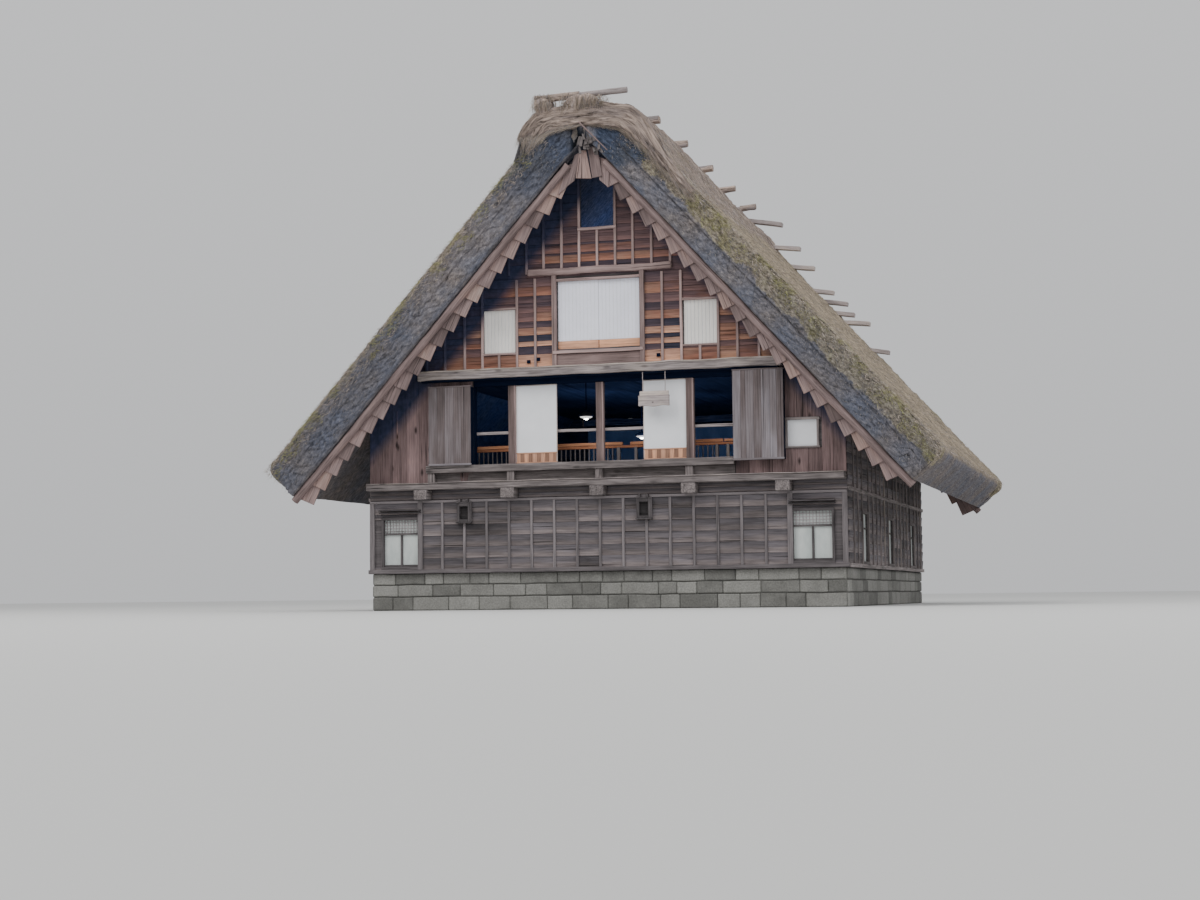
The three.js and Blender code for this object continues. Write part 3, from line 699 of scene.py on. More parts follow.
# Woods by name: kind, how light, streaks along and across the grain, how dark they are, and what else is set
WOODS = {
    "red_boards": ("red", 1.0, 1.6, 34, 0.55, {"lap": 0.42, "eave_shade": True, "mottle": 0.6}),
    "tall_boards": ("tall", 1.0, 1.3, 26, 0.55, {"knots": 0.95, "eave_shade": True}),
    "ground_boards": ("ground", 0.9, 1.5, 30, 0.5, {"lap": 0.45}),
    "vent_boards": ("ground", 0.55, 2.5, 40, 0.5, {}),
    "grey_beams": ("grey", 1.0, 1.6, 30, 0.72, {"knots": 0.55}),
    "posts": ("post", 1.0, 1.2, 34, 0.55, {}),
    "pale_battens": ("post", 1.15, 1.6, 60, 0.45, {"eave_shade": True}),
    "shutter_boards": ("shutter", 1.0, 0.8, 40, 0.5, {}),
    "verge_boards": ("verge", 1.0, 1.8, 46, 0.5, {}),
    "orange_wood": ("orange", 1.0, 2.5, 50, 0.35, {}),
    "log_wood": ("grey", 1.12, 1.8, 46, 0.5, {}),
    "dark_frame": ("grey", 0.55, 1.2, 40, 0.5, {}),
    "pale_grey": ("grey", 1.35, 2.5, 40, 0.4, {}),
    "window_bars": ("ground", 1.6, 2.5, 40, 0.4, {}),
    "low_battens": ("ground", 0.98, 1.6, 50, 0.45, {}),
    "rail_wood": ("rail", 1.0, 2.5, 50, 0.35, {}),
    "thin_bars": ("grey", 0.8, 2.5, 50, 0.35, {}),
    # Dark copies of the low boards behind the boards and inside the house: painted shade in the gaps and the
    # rooms
    "wall_slab": ("ground", 0.6, 1.2, 20, 0.6, {"by_board": False}),
    "deck_slab": ("ground", 0.5, 0.5, 9, 0.5, {"by_board": False, "turn": (0, 0, math.pi / 2)}),
    "sooty_wood": ("sooty_and_shaded", 1.0, 2.0, 40, 0.4, {"gloss": 0.04}),
}


FINISHES = {}


def finish(name):
    """The material of that name, made at its first use"""
    if name not in FINISHES:
        if name in WOODS:
            kind, light, along, across, dirt, settings = WOODS[name]
            FINISHES[name] = wood_finish(name, wood_stops(kind, light), along, across, dirt, **settings)
        else:
            FINISHES[name] = OTHER_FINISHES[name](name)
    return FINISHES[name]


def paper_finish(name):
    """White, cool or warm sheet with faint stains"""
    paper = {"warm_paper": (0.93, 0.90, 0.86), "cool_paper": (0.88, 0.89, 0.99)}.get(name, colours().paper)
    sheet = Sheet(name, 0.7)
    stain = sheet.noise(sheet.place, 1.6, 5, 0.6)
    colour = sheet.ramp(stain, *ladder(paper, (0.3, 0.9), (0.7, 1.0)))
    return sheet.done(colour, sheet.noise(sheet.place, (60, 60, 6), 4), 0.001, 0.4)


def frosted_finish(name):
    """Pane backed by white paper"""
    sheet = Sheet(name, 0.35)
    stain = sheet.noise(sheet.scaled(sheet.place, (2, 2, 1)), 1.5, 5, 0.6)
    colour = sheet.ramp(stain, (0.3, (0.42, 0.46, 0.45)), (0.7, (0.62, 0.65, 0.63)))
    return sheet.done(colour, sheet.noise(sheet.place, 6.0, 2), 0.001, 0.3)


def stone_finish(name):
    stone = colours().stone
    sheet = Sheet(name, 0.9)
    grit = sheet.noise(sheet.place, 28, 6, 0.7)
    blotch = sheet.noise(sheet.place, 3.2, 4, 0.6)
    tone = sheet.sum(sheet.product(sheet.attribute("tone"), 0.5), sheet.product(blotch, 0.5))
    colour = sheet.ramp(tone, *ladder(stone, (0.25, 0.62), (0.5, 1.0), (0.8, 1.3)))
    return sheet.done(sheet.times(colour, sheet.ramp(grit, (0.3, 0.6), (0.7, 1.1))), grit, 0.012, 0.8)


def mortar_finish(name):
    sheet = Sheet(name, 0.95)
    grit = sheet.noise(sheet.place, 40, 5, 0.7)
    return sheet.done(sheet.ramp(grit, *ladder(colours().stone, (0.3, 0.4), (0.7, 0.75))), grit, 0.008, 0.7)


def thatch_finish(name):
    """Straw combed down the slopes, cut ends at gables and eaves, shaggy and mossy along the verges, with
    painted shade in the hollows and under cap and poles
    """
    c = colours()
    sheet = Sheet(name, 0.95)
    place, grain = sheet.place, sheet.attribute("grain", "Vector")
    tufts = sheet.noise(place, 6.0, 5, 0.65)
    broad = sheet.noise(place, 1.3, 3, 0.5)
    streak = sheet.noise(grain, (2.4, 30, 30), 6, 0.7)
    specks = sheet.noise(place, 52, 4, 0.7), sheet.noise(grain, (9, 12, 24), 4, 0.65)
    speck = sheet.product(sheet.sum(*specks), 0.5)
    face = sheet.ramp(speck, *ladder(c.old_straw, (0.36, 0.42), (0.47, 0.9), (0.56, 1.35)),
                      (0.68, shade(c.straw, 1.3)))
    face = sheet.times(face, sheet.ramp(broad, (0.35, (0.88, 0.92, 1.02)), (0.65, (1.14, 1.02, 0.90))))
    face = sheet.times(face, sheet.ramp(tufts, (0.32, 0.72), (0.62, 1.1)))
    combed = sheet.ramp(streak, *ladder(c.straw, (0.30, 0.42), (0.5, 1.0), (0.72, 1.7)))
    combed = sheet.times(combed, sheet.ramp(broad, (0.3, (0.80, 0.77, 0.74)), (0.7, (1.15, 1.1, 1.05))))
    ragged = sheet.ramp(sheet.noise(place, 11.0, 5, 0.7), (0.36, 0.5), (0.5, 1.0), (0.64, 1.22))
    shaggy = sheet.ramp(speck, *ladder(c.straw, (0.36, 0.22), (0.48, 0.8), (0.62, 1.7)))
    colour = sheet.mix(sheet.attribute("cut"), sheet.times(combed, ragged), face)
    outer = sheet.sum(sheet.attribute("edge"), sheet.uneven(tufts, 1.6), True)
    colour = sheet.mix(sheet.ramp(outer, (0.40, 0.0), (0.62, 1.0)), colour, shaggy)
    patches = sheet.ramp(sheet.noise(place, 1.9, 6, 0.7), (0.50, 0.0), (0.62, 0.7))
    green = sheet.ramp(speck, *ladder(c.moss, (0.36, 0.35), (0.5, 1.0), (0.64, 2.1)))
    colour = sheet.mix(sheet.product(patches, sheet.ramp(outer, (0.3, 0.0), (0.6, 1.0))), colour, green)
    # Painted shade in the hollows between straw layers
    colour = sheet.times(colour, sheet.ramp(sheet.attribute("hollow"), (0.0, 0.08), (0.25, 0.52), (0.6, 1.0)))
    # Painted shade: darker and bluer under the cap and poles, low on the faces and on the underside
    colour = sheet.mix(sheet.attribute("soot"), colour, sheet.times(colour, (0.17, 0.28, 0.46)))
    height = sheet.sum(sheet.sum(speck, streak), sheet.product(tufts, 0.4))
    return sheet.done(colour, height, 0.02, 0.7)


def ridge_straw_finish(name):
    """Newer straw laid across the ridge in pale and dark strands, old where it nears the wall's foot, with
    painted shade in its dips and painted light on the bundles
    """
    c = colours()
    sheet = Sheet(name, 0.9)
    grain = sheet.attribute("grain", "Vector")
    strand = sheet.noise(grain, (2.2, 30, 30), 6, 0.72, 0.6)
    wide = sheet.noise(grain, (0.9, 5.5, 5.5), 4, 0.6, 0.3)
    colour = sheet.ramp(strand, *ladder(c.ridge_straw, (0.34, 0.18), (0.46, 0.66), (0.57, 1.15), (0.70, 1.5)))
    colour = sheet.times(colour, sheet.ramp(wide, (0.34, (0.62, 0.61, 0.64)), (0.58, (1.05, 0.99, 0.94))))
    old = sheet.ramp(sheet.noise(sheet.place, 30, 5, 0.72),
                     *ladder(c.old_straw, (0.36, 0.30), (0.47, 0.8), (0.56, 1.4)),
                     (0.68, shade(c.straw, 1.2)))
    colour = sheet.mix(sheet.attribute("old"), colour, old)
    # Painted shade below 0.6 and painted light above 0.8
    shaded = sheet.ramp(sheet.attribute("hollow"), (0.0, 0.2), (0.6, 1.0), (0.8, 1.0), (1.0, 1.5))
    return sheet.done(sheet.times(colour, shaded), sheet.sum(strand, sheet.product(wide, 0.7)), 0.035)


def stalk_finish(name):
    """Loose stalks: tone runs from old and dark over pale straw to moss"""
    c = colours()
    sheet = Sheet(name, 0.85)
    grain = sheet.noise(sheet.attribute("grain", "Vector"), (6, 2, 2), 3)
    colour = sheet.ramp(sheet.attribute("tone"), *ladder(c.old_straw, (0.0, 0.4), (0.3, 1.6)),
                        (0.5, shade(c.straw, 1.1)), (0.7, shade(c.ridge_straw, 1.7)),
                        (0.85, shade(c.moss, 1.3)), (1.0, (0.40, 0.40, 0.18)))
    return sheet.done(sheet.times(colour, sheet.ramp(grain, (0.3, 0.65), (0.7, 1.15))))


def glow(sheet, colour, strength):
    """Lets a surface give light of its own"""
    sheet.put(sheet.shader["Emission Color"], colour)
    sheet.shader["Emission Strength"].default_value = strength


def lamp_glow_finish(name):
    """Lit glass of a pendant lamp"""
    sheet = Sheet(name, 0.4)
    colour = sheet.ramp(sheet.noise(sheet.place, 12, 2), (0.3, (1.0, 0.90, 0.74)), (0.7, (1.0, 0.95, 0.86)))
    glow(sheet, colour, 22.0)
    return sheet.done(colour)


def lamp_shade_finish(name):
    """Inside of a lamp's shade, with a painted glow for its bulb's light on it"""
    sheet = Sheet(name, 0.35)
    dust = sheet.noise(sheet.place, 9, 4)
    colour = sheet.ramp(dust, (0.3, (0.60, 0.57, 0.50)), (0.7, (0.82, 0.79, 0.72)))
    # Painted light: the shade glows as if lit by its bulb
    glow(sheet, colour, 1.6)
    return sheet.done(colour, dust, 0.002, 0.3)


OTHER_FINISHES = {
    "paper": paper_finish,
    "warm_paper": paper_finish,
    "cool_paper": paper_finish,
    "frosted": frosted_finish,
    "stones": stone_finish,
    "mortar": mortar_finish,
    "thatch": thatch_finish,
    "ridge_straw": ridge_straw_finish,
    "stalks": stalk_finish,
    "lamp_glow": lamp_glow_finish,
    "lamp_shade": lamp_shade_finish,
}


# Footing and ground storey


def footing_stones():
    """Courses of long squared stones on the outer face of the footing, all the way round"""
    draw = seeded(11)
    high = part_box("stone_footing")[1]
    stones = []
    for z0, z1 in ((0.0, 0.29), (0.30, 0.55), (0.56, high.z)):
        for side in range(4):
            along_x = side % 2 == 0
            half, face = (high.x, high.y) if along_x else (high.y, high.x)
            at = -half
            while at < half - 0.05:
                end = min(half, at + draw.uniform(0.4, 0.85))
                end = half if half - end < 0.25 else end
                out = (-1 if side < 2 else 1) * (face + 0.004 + draw.uniform(-0.004, 0.006))
                turn = Matrix.Rotation(draw.normal(0, 0.006), 3, "Z")
                place = ((at + end) / 2, out, (z0 + z1) / 2)
                if not along_x:
                    place = (out, (at + end) / 2, (z0 + z1) / 2)
                    turn = DEEP @ turn
                size = (end - at - 0.012, 0.06, z1 - z0 - 0.012)
                stones.append(Board(place, size, turn, float(draw.uniform(0, 1))))
                at = end
    piece = lay("footing_stones", stones, cuts=2, ease=0.018, wander=0.007, seed=12)
    points = points_of(piece)
    points[:, 2] = np.clip(points[:, 2], 0.0, high.z)
    set_points(piece, points)
    keep(piece, "stone", "stones")


def ground_tones(row, middle, draw):
    return draw.normal(0.48, 0.17)


def ground_uprights():
    """Places of the battens between the two end windows"""
    return shares(-END_POST, END_POST, round(2 * END_POST / sizes().ground_bay))


def ground_boards(gable):
    draw = seeded(21)
    uprights = [-WALL_X, -4.12, *ground_uprights(), 4.12, WALL_X]
    rows = levels(SILL_TOP, LOW_RAIL, sizes().ground_course)
    boards = courses(rows, uprights, [LEFT_GROUND_WINDOW, RIGHT_GROUND_WINDOW], draw, ground_tones, 4)
    bays = ((-WALL_X, -4.14), (-3.8, -2.15), (-1.82, -0.16), (0.16, 1.82), (2.15, 3.8), (4.14, WALL_X))
    for x0, x1 in bays:
        boards.append(block(x0, x1, -0.016, 0.0, 2.40, 2.50, draw.uniform(0.45, 0.65)))
        boards.append(block(x0, x1, -0.014, 0.0, 2.505, SKIRT_LOW - 0.002, draw.uniform(0.3, 0.5)))
    build(gable + "_ground_boards", boards, "old_wood", "ground_boards", wall=gable, wander=0.0025, seed=22)


def ground_battens(gable):
    """Battens, corner posts, the rail over them and the sill under them"""
    draw = seeded(23)
    half = sizes().batten / 2
    vents = VENTS if gable == "front" else ()
    timbers = []
    for x in ground_uprights()[1:-1]:
        top = 1.89 if any(abs(x - vent) < 0.2 for vent in vents) else LOW_RAIL
        timbers.append(bar(x, half, -0.052, -0.008, SILL_TOP, top, draw.uniform(0.35, 0.75)))
    for x, out in ((-END_POST, -0.07), (END_POST, -0.07), (0.05 - WALL_X, -0.05), (WALL_X - 0.05, -0.05)):
        timbers.append(bar(x, 0.055, out, 0.0, SILL_TOP, 2.36, draw.uniform(0.4, 0.6)))
    timbers.append(plank(0, WALL_X, -0.058, 0.0, LOW_RAIL, 2.385, 0.70))
    timbers.append(plank(0, WALL_X + 0.03, -0.075, 0.0, FOOTING_TOP + 0.003, SILL_TOP + 0.006, 0.35))
    build(gable + "_ground_battens", timbers, "grey_wood", "low_battens", wall=gable, cuts=9, wander=0.004,
          seed=24)


def vent_boxes():
    """Wooden frames round the two vent holes, each with a little shelf and a lid"""
    timbers = []
    for x in VENTS:
        timbers += [
            plank(x, 0.175, -0.125, 0.0, 1.868, 1.895, 0.25),
            plank(x, 0.165, -0.115, 0.0, 2.302, 2.325, 0.6),
            stud(x - 0.155, x - 0.098, -0.104, -0.05, 1.895, 2.302, 0.35),
            stud(x + 0.098, x + 0.155, -0.104, -0.05, 1.895, 2.302, 0.5),
            plank(x, 0.098, -0.104, -0.05, 1.895, 1.948, 0.3),
            plank(x, 0.098, -0.104, -0.05, 2.232, 2.302, 0.45),
            stud(x + 0.158, x + 0.174, -0.10, 0.0, 1.895, LOW_RAIL, 0.75),
            block(x - 0.11, x - 0.06, -0.135, -0.02, 2.325, 2.39),
            block(x + 0.06, x + 0.11, -0.135, -0.02, 2.325, 2.39),
            # A near-black board in each vent hole: painted shade of the hole
            plank(x, 0.098, -0.040, -0.032, 1.948, 2.232, 0.0),
        ]
    build("vent_boxes", timbers, "old_wood", "vent_boards", wall="front", cuts=2, seed=26)


def ground_windows(gable):
    """Windows at both ends of the ground storey: fine lattice over two white panes, with a board hood"""
    bars, lattice, panes = [], [], []
    for x0, x1, z0, z1 in (LEFT_GROUND_WINDOW, RIGHT_GROUND_WINDOW):
        rail = z1 - 0.31
        middle = (x0 + x1) / 2
        bars += [
            block(x0 - 0.04, x1 + 0.04, -0.055, 0.07, z1 - 0.01, z1 + 0.05, 0.45),
            block(x0 - 0.04, x1 + 0.04, -0.06, 0.07, z0 - 0.05, z0 + 0.012, 0.55),
            stud(x0 - 0.04, x0 + 0.012, -0.05, 0.07, z0, z1),
            stud(x1 - 0.012, x1 + 0.04, -0.05, 0.07, z0, z1),
            block(x0, x1, 0.0, 0.045, rail - 0.02, rail + 0.02, 0.55),
            bar(middle, 0.022, 0.0, 0.045, z0, rail),
            block(x0, x1, 0.005, 0.04, z0 + 0.01, z0 + 0.06),
            block(x0 - 0.07, x1 + 0.07, -0.16, 0.0, z1 + 0.185, z1 + 0.21, 0.4),
            block(x0 - 0.07, x1 + 0.07, -0.13, 0.0, z1 + 0.135, z1 + 0.16, 0.2),
        ]
        lattice += [bar(x, 0.006, 0.014, 0.03, rail, z1, 0.7) for x in shares(x0, x1, 12)[1:-1]]
        lattice += [block(x0, x1, 0.016, 0.032, z - 0.006, z + 0.006, 0.7) for z in shares(rail, z1, 5)[1:-1]]
        for left, right, low, high in ((x0, middle, z0, rail), (middle, x1, z0, rail), (x0, x1, rail, z1)):
            panes.append(block(left + 0.002, right - 0.002, 0.036, 0.044, low + 0.002, high - 0.002))
    name = gable + "_ground_window_"
    fine = {"wall": gable, "cuts": 1}
    build(name + "frames", bars, "grey_wood", "vent_boards", **fine, ease=0.003, wander=0.001, seed=28)
    build(name + "lattice", lattice, "grey_wood", "window_bars", **fine, ease=0.002, wander=0.001, seed=27)
    nodes = ("front_left_ground_window", "front_right_ground_window") if gable == "front" else (
        "rear_ground_windows",)
    build(name + "panes", panes, "window_glass", "frosted", *nodes, **fine, ease=0.002, wander=0.0, seed=29)


# Long walls


def side_wall_boards(side):
    """Courses, battens and window frames of one long wall"""
    draw = seeded(31)
    half = WALL_Y - 0.01
    windows = [RIGHT_GROUND_WINDOW._replace(left=y - 0.412, right=y + 0.412) for y in SIDE_WINDOW_Y]
    uprights = [-half]
    for window in windows:
        edge = window.left - 0.04
        count = max(1, round((edge - uprights[-1]) / 0.6))
        uprights += [*shares(uprights[-1], edge, count)[1:], window.right + 0.04]
    uprights += shares(uprights[-1], half, 3)[1:]
    boards = courses(levels(SILL_TOP, 4.06, sizes().ground_course), uprights, windows, draw, ground_tones, 4)
    timbers = [
        plank(0, half, -0.06, 0.0, FOOTING_TOP + 0.003, SILL_TOP + 0.006),
        plank(0, half, -0.055, 0.0, 2.38, 2.46, 0.55),
        *(bar(x, 0.03, -0.052, -0.008, SILL_TOP, 4.04, draw.uniform(0.35, 0.7)) for x in uprights[1:-1]),
    ]
    bars = []
    for x0, x1, z0, z1 in windows:
        bars += [
            block(x0 - 0.03, x1 + 0.03, -0.05, 0.06, z1 - 0.01, z1 + 0.045),
            block(x0 - 0.03, x1 + 0.03, -0.055, 0.06, z0 - 0.045, z0 + 0.012),
            bar((x0 + x1) / 2, 0.02, 0.01, 0.05, z0, z1),
            block(x0, x1, 0.012, 0.048, z1 - 0.34, z1 - 0.30),
        ]
    panes = [block(x0, x1, 0.03, 0.04, z0, z1) for x0, x1, z0, z1 in windows]
    name = side + "_side_"
    build(name + "boards", boards, "old_wood", "ground_boards", wall=side, seed=32)
    build(name + "battens", timbers, "grey_wood", "grey_beams", wall=side, cuts=9, wander=0.004, seed=33)
    build(name + "window_frames", bars, "grey_wood", "dark_frame", wall=side, cuts=1, seed=34)
    build(name + "window_panes", panes, "window_glass", "frosted", wall=side, cuts=1, wander=0.0, seed=35)


# Beams and the second storey


def beam_ends(gable):
    """Weathered ends of the five long beams"""
    draw = seeded(41)
    ends = [deep(x - 0.153, x + 0.153, -0.306, 0.02, BEAM_LOW - 0.003, 2.598, draw.uniform(0.25, 0.45))
            for x in BEAM_X]
    build(gable + "_beam_ends", ends, "grey_wood", "grey_beams", wall=gable, cuts=2, ease=0.012, wander=0.006,
          seed=42)


def skirt(gable):
    timbers = [
        plank(0, 5.24, -0.30, 0.06, SKIRT_LOW, SKIRT_TOP - 0.022, 0.37),
        # The lighter top plank is painted light from above
        plank(0, 5.235, -0.315, 0.06, SKIRT_TOP - 0.02, SKIRT_TOP, 0.64),
    ]
    build(gable + "_skirt_timber", timbers, "grey_wood", "grey_beams", gable + "_skirt_beam", wall=gable,
          cuts=40, ease=0.012, wander=0.009, seed=44)


def sill_and_posts():
    """Window sill on short blocks, posts with a lighter edge, and the guard rail behind them"""
    node = "front_sill_and_posts"
    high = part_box(node)[1].z
    timbers = [
        block(-3.90, 2.93, -0.15, 0.12, 2.96, BAY_SILL, 0.34),
        block(-3.86, 2.93, -0.03, 0.08, SKIRT_TOP + 0.004, 2.96, 0.2),
        *(bar(x, 0.08, -0.12, 0.0, SKIRT_TOP + 0.004, 2.96, 0.4) for x in (-3.79, *POST_X)),
    ]
    build("sill_timbers", timbers, "grey_wood", "grey_beams", node, wall="front", cuts=16, ease=0.008,
          wander=0.006, seed=46)
    posts = []
    for x in POST_X:
        posts.append(bar(x, 0.08, 0.0, 0.15, BAY_SILL - 0.01, high, 0.24))
        posts.append(stud(x + 0.046, x + 0.082, -0.004, 0.1, BAY_SILL - 0.01, high, 0.72))
    build("bay_posts", posts, "grey_wood", "posts", wall="front", cuts=12, ease=0.008, wander=0.005, seed=45)
    rail = [block(*OPEN_BAYS, 0.148, 0.19, 3.78, 3.84, 0.6)]
    build("guard_rail", rail, "grey_wood", "pale_grey", wall="front", cuts=24, seed=47)


def head_beam(gable):
    """Long beam over the second storey, and the lintel and the track under it, near-black as painted shade"""
    timbers = [
        block(-4.05, 3.97, -0.25, 0.22, HEAD_LOW + 0.02, HEAD_TOP - 0.012, 0.62),
        block(-4.0, 3.93, -0.262, 0.0, HEAD_TOP - 0.032, HEAD_TOP, 0.85),
    ]
    build(gable + "_head_timber", timbers, "grey_wood", "grey_beams", gable + "_head_beam", wall=gable,
          cuts=40, ease=0.014, wander=0.012, seed=48)
    # Painted shade: the near-black lintel under the beam, the band over the panels and the strip at the left
    # bay's edge
    dark = [block(-3.99, 3.9, -0.17, 0.18, HEAD_LOW - 0.02, HEAD_LOW + 0.03, 0.15)]
    if gable == "front":
        dark.append(block(*OPEN_BAYS, -0.01, 0.15, PANEL_TOP + 0.002, HEAD_LOW, 0.12))
        dark.append(stud(-2.84, -2.82, -0.002, 0.17, 3.1, HEAD_LOW, 0.1))
    build(gable + "_lintel", dark, "grey_wood", "sooty_wood", wall=gable, cuts=20, seed=49)


def shutter_boxes():
    """Boxes of silver-grey upright boards beside the open bays"""
    draw = seeded(51)
    # Side, left, right, bottom, top, the widths of its boards, and their darkest and lightest tone
    shapes = (("left", -3.81, -2.84, BAY_SILL, 4.83, (0.2, 0.17, 0.21, 0.17, 0.22), 0.28, 0.46),
              ("right", 2.932, 4.0, 3.04, 4.92, (0.16, 0.10, 0.16, 0.15, 0.17, 0.13, 0.14), 0.36, 0.66))
    for side, x0, x1, z0, z1, widths, darkest, lightest in shapes:
        scale = (x1 - x0) / sum(widths)
        boards, at = [], x0
        for width in widths:
            end = at + width * scale
            tone = draw.uniform(darkest, lightest)
            boards.append(stud(at + 0.001, end - 0.001, -0.2, -0.176 + draw.uniform(0, 0.003), z0, z1, tone))
            at = end
        # The boxes' sides are near-black: painted shade
        cheeks = [stud(x, x + 0.024, -0.178, -0.001, z0, z1 - 0.02, 0.2) for x in (x0, x1 - 0.024)]
        build(side + "_shutter_cheeks", cheeks, "grey_wood", "sooty_wood", wall="front", cuts=4, seed=50)
        boards += [
            block(x0 - 0.008, x1 + 0.008, -0.21, -0.001, z1 - 0.02, z1 + 0.006, 0.4),
            block(x0 + 0.01, x1 - 0.01, -0.17, -0.001, z0, z0 + 0.03, 0.3),
            block(x0 - 0.004, x1 + 0.004, -0.207, -0.15, z0 - 0.004, z0 + 0.035, 0.65),
        ]
        build(side + "_shutter_boards", boards, "grey_wood", "shutter_boards", side + "_shutter_box",
              wall="front", cuts=8, seed=52)


def sliding_panels():
    """White paper panels with a wooden skirt of upright strips"""
    draw = seeded(54)
    skirt_top = 3.357
    for side in SIDES:
        node = side + "_sliding_panel"
        (x0, y0, z0), (x1, y1, z1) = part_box(node)
        y0, y1 = y0 + WALL_Y, y1 + WALL_Y
        paper = [block(x0 + 0.012, x1 - 0.012, y0 + 0.006, y1 - 0.006, skirt_top, z1 - 0.02)]
        build(side + "_panel_paper", paper, "paper_panel", "paper", node, wall="front", cuts=6, ease=0.002,
              wander=0.0015, seed=55)
        edges = [
            block(x0, x1, y0 + 0.001, y1, z1 - 0.022, z1, 0.7),
            stud(x0, x0 + 0.014, y0 + 0.002, y1, z0, z1, 0.95),
            stud(x1 - 0.014, x1, y0 + 0.002, y1, z0, z1, 0.95),
        ]
        build(side + "_panel_edges", edges, "grey_wood", "pale_grey", wall="front", cuts=4, ease=0.002,
              wander=0.001, seed=57)
        strips = [
            block(x0, x1, y0 - 0.002, y1, z0, z0 + 0.03, 0.75),
            block(x0, x1, y0 - 0.002, y1, skirt_top - 0.022, skirt_top, 0.7),
        ]
        at = shares(x0, x1, 10)
        for i in range(10):
            tone = 0.3 if i % 2 else draw.uniform(0.65, 0.95)
            strips.append(stud(at[i], at[i + 1], y0 + 0.008, y1 - 0.004, z0 + 0.03, skirt_top - 0.02, tone))
        build(side + "_panel_skirt", strips, "orange_wood", "orange_wood", wall="front", cuts=2, ease=0.002,
              wander=0.001, seed=56)


def railing():
    """Orange-brown railing inside the bays: thin bars at the left, a table-like top with legs at the right"""
    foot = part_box("front_railing")[0].z
    y = 0.6
    timbers = [
        block(-3.06, 0.34, y - 0.035, y + 0.035, 3.495, 3.56, 0.75),
        block(0.51, 2.545, y - 0.035, y + 0.035, 3.495, 3.56, 0.7),
        block(2.57, 2.95, y - 0.035, y + 0.035, 3.50, 3.555, 0.8),
        block(-3.06, 2.95, y - 0.028, y + 0.028, 3.435, 3.488, 0.5),
        block(-3.06, 2.92, y - 0.025, y + 0.025, foot, foot + 0.07, 0.2),
    ]
    places = (-3.04 + 0.105 * i for i in range(56))
    bars = [bar(x, 0.012, y - 0.012, y + 0.012, foot + 0.06, 3.45)
            for x in places if not 0.22 < x < 1.95 and not x > 2.38]
    bars += [bar(x, 0.032, y - 0.03, y + 0.03, foot, 3.45, 0.55) for x in (0.25, 0.634, 2.41, 2.65)]
    build("railing_timbers", timbers, "orange_wood", "rail_wood", "front_railing", wall="front", cuts=12,
          ease=0.006, seed=58)
    build("railing_bars", bars, "grey_wood", "thin_bars", wall="front", cuts=1, ease=0.003, wander=0.001,
          seed=59)


def tall_boards(x0, x1, low, high, draw, window=None):
    """Upright boards of uneven width, left out where the window is"""
    boards, at = [], x0
    while at < x1 - 0.02:
        end = min(x1, at + draw.uniform(0.17, 0.34))
        end = x1 if x1 - end < 0.08 else end
        pieces = [(low, high)]
        if window and window.left - 0.1 < (at + end) / 2 < window.right + 0.1:
            pieces = [(low, window.bottom - 0.03), (window.top + 0.03, high)]
        for z0, z1 in pieces:
            depth = 0.022 + draw.uniform(0, 0.008)
            tone = float(draw.normal(0.50, 0.09))
            boards.append(stud(at + 0.0015, end - 0.0015, -depth, 0.0, z0, z1, tone))
        at = end
    return boards


def second_outer_walls():
    """Red-brown upright boards outside the shutter boxes, and the small white window at the right"""
    draw = seeded(61)
    low = SKIRT_TOP + 0.004
    corner = 0.07
    left = tall_boards(-WALL_X, -2.85, low, HEAD_TOP, draw)
    left.append(stud(-4.62, -4.59, -0.045, -0.02, 3.75, 4.35, 0.95))
    left.append(stud(-WALL_X, -WALL_X + corner, -0.04, 0.0, low, 4.2))
    right = tall_boards(2.94, WALL_X, low, HEAD_TOP, draw, SMALL_WINDOW)
    right.append(stud(WALL_X - corner, WALL_X, -0.04, 0.0, low, 4.2))
    for side, boards in (("left", left), ("right", right)):
        build("second_" + side + "_boards", boards, "red_wood", "tall_boards", wall="front", under_roof=True,
              cuts=7, seed=62)
    x0, x1, z0, z1 = SMALL_WINDOW
    bars = [
        block(x0 - 0.06, x1 + 0.06, -0.06, 0.05, z1, z1 + 0.05, 0.55),
        block(x0 - 0.06, x1 + 0.06, -0.055, 0.05, z0 - 0.04, z0, 0.45),
        stud(x0 - 0.045, x0 + 0.005, -0.045, 0.05, z0 - 0.02, z1),
        stud(x1 - 0.005, x1 + 0.045, -0.045, 0.05, z0 - 0.02, z1),
    ]
    build("small_window_frame", bars, "grey_wood", "grey_beams", wall="front", seed=63)
    paper = [block(x0, x1, 0.0, 0.03, z0, z1)]
    build("small_window_paper", paper, "paper_panel", "paper", "second_right_window", wall="front", cuts=4,
          ease=0.002, wander=0.001, seed=64)


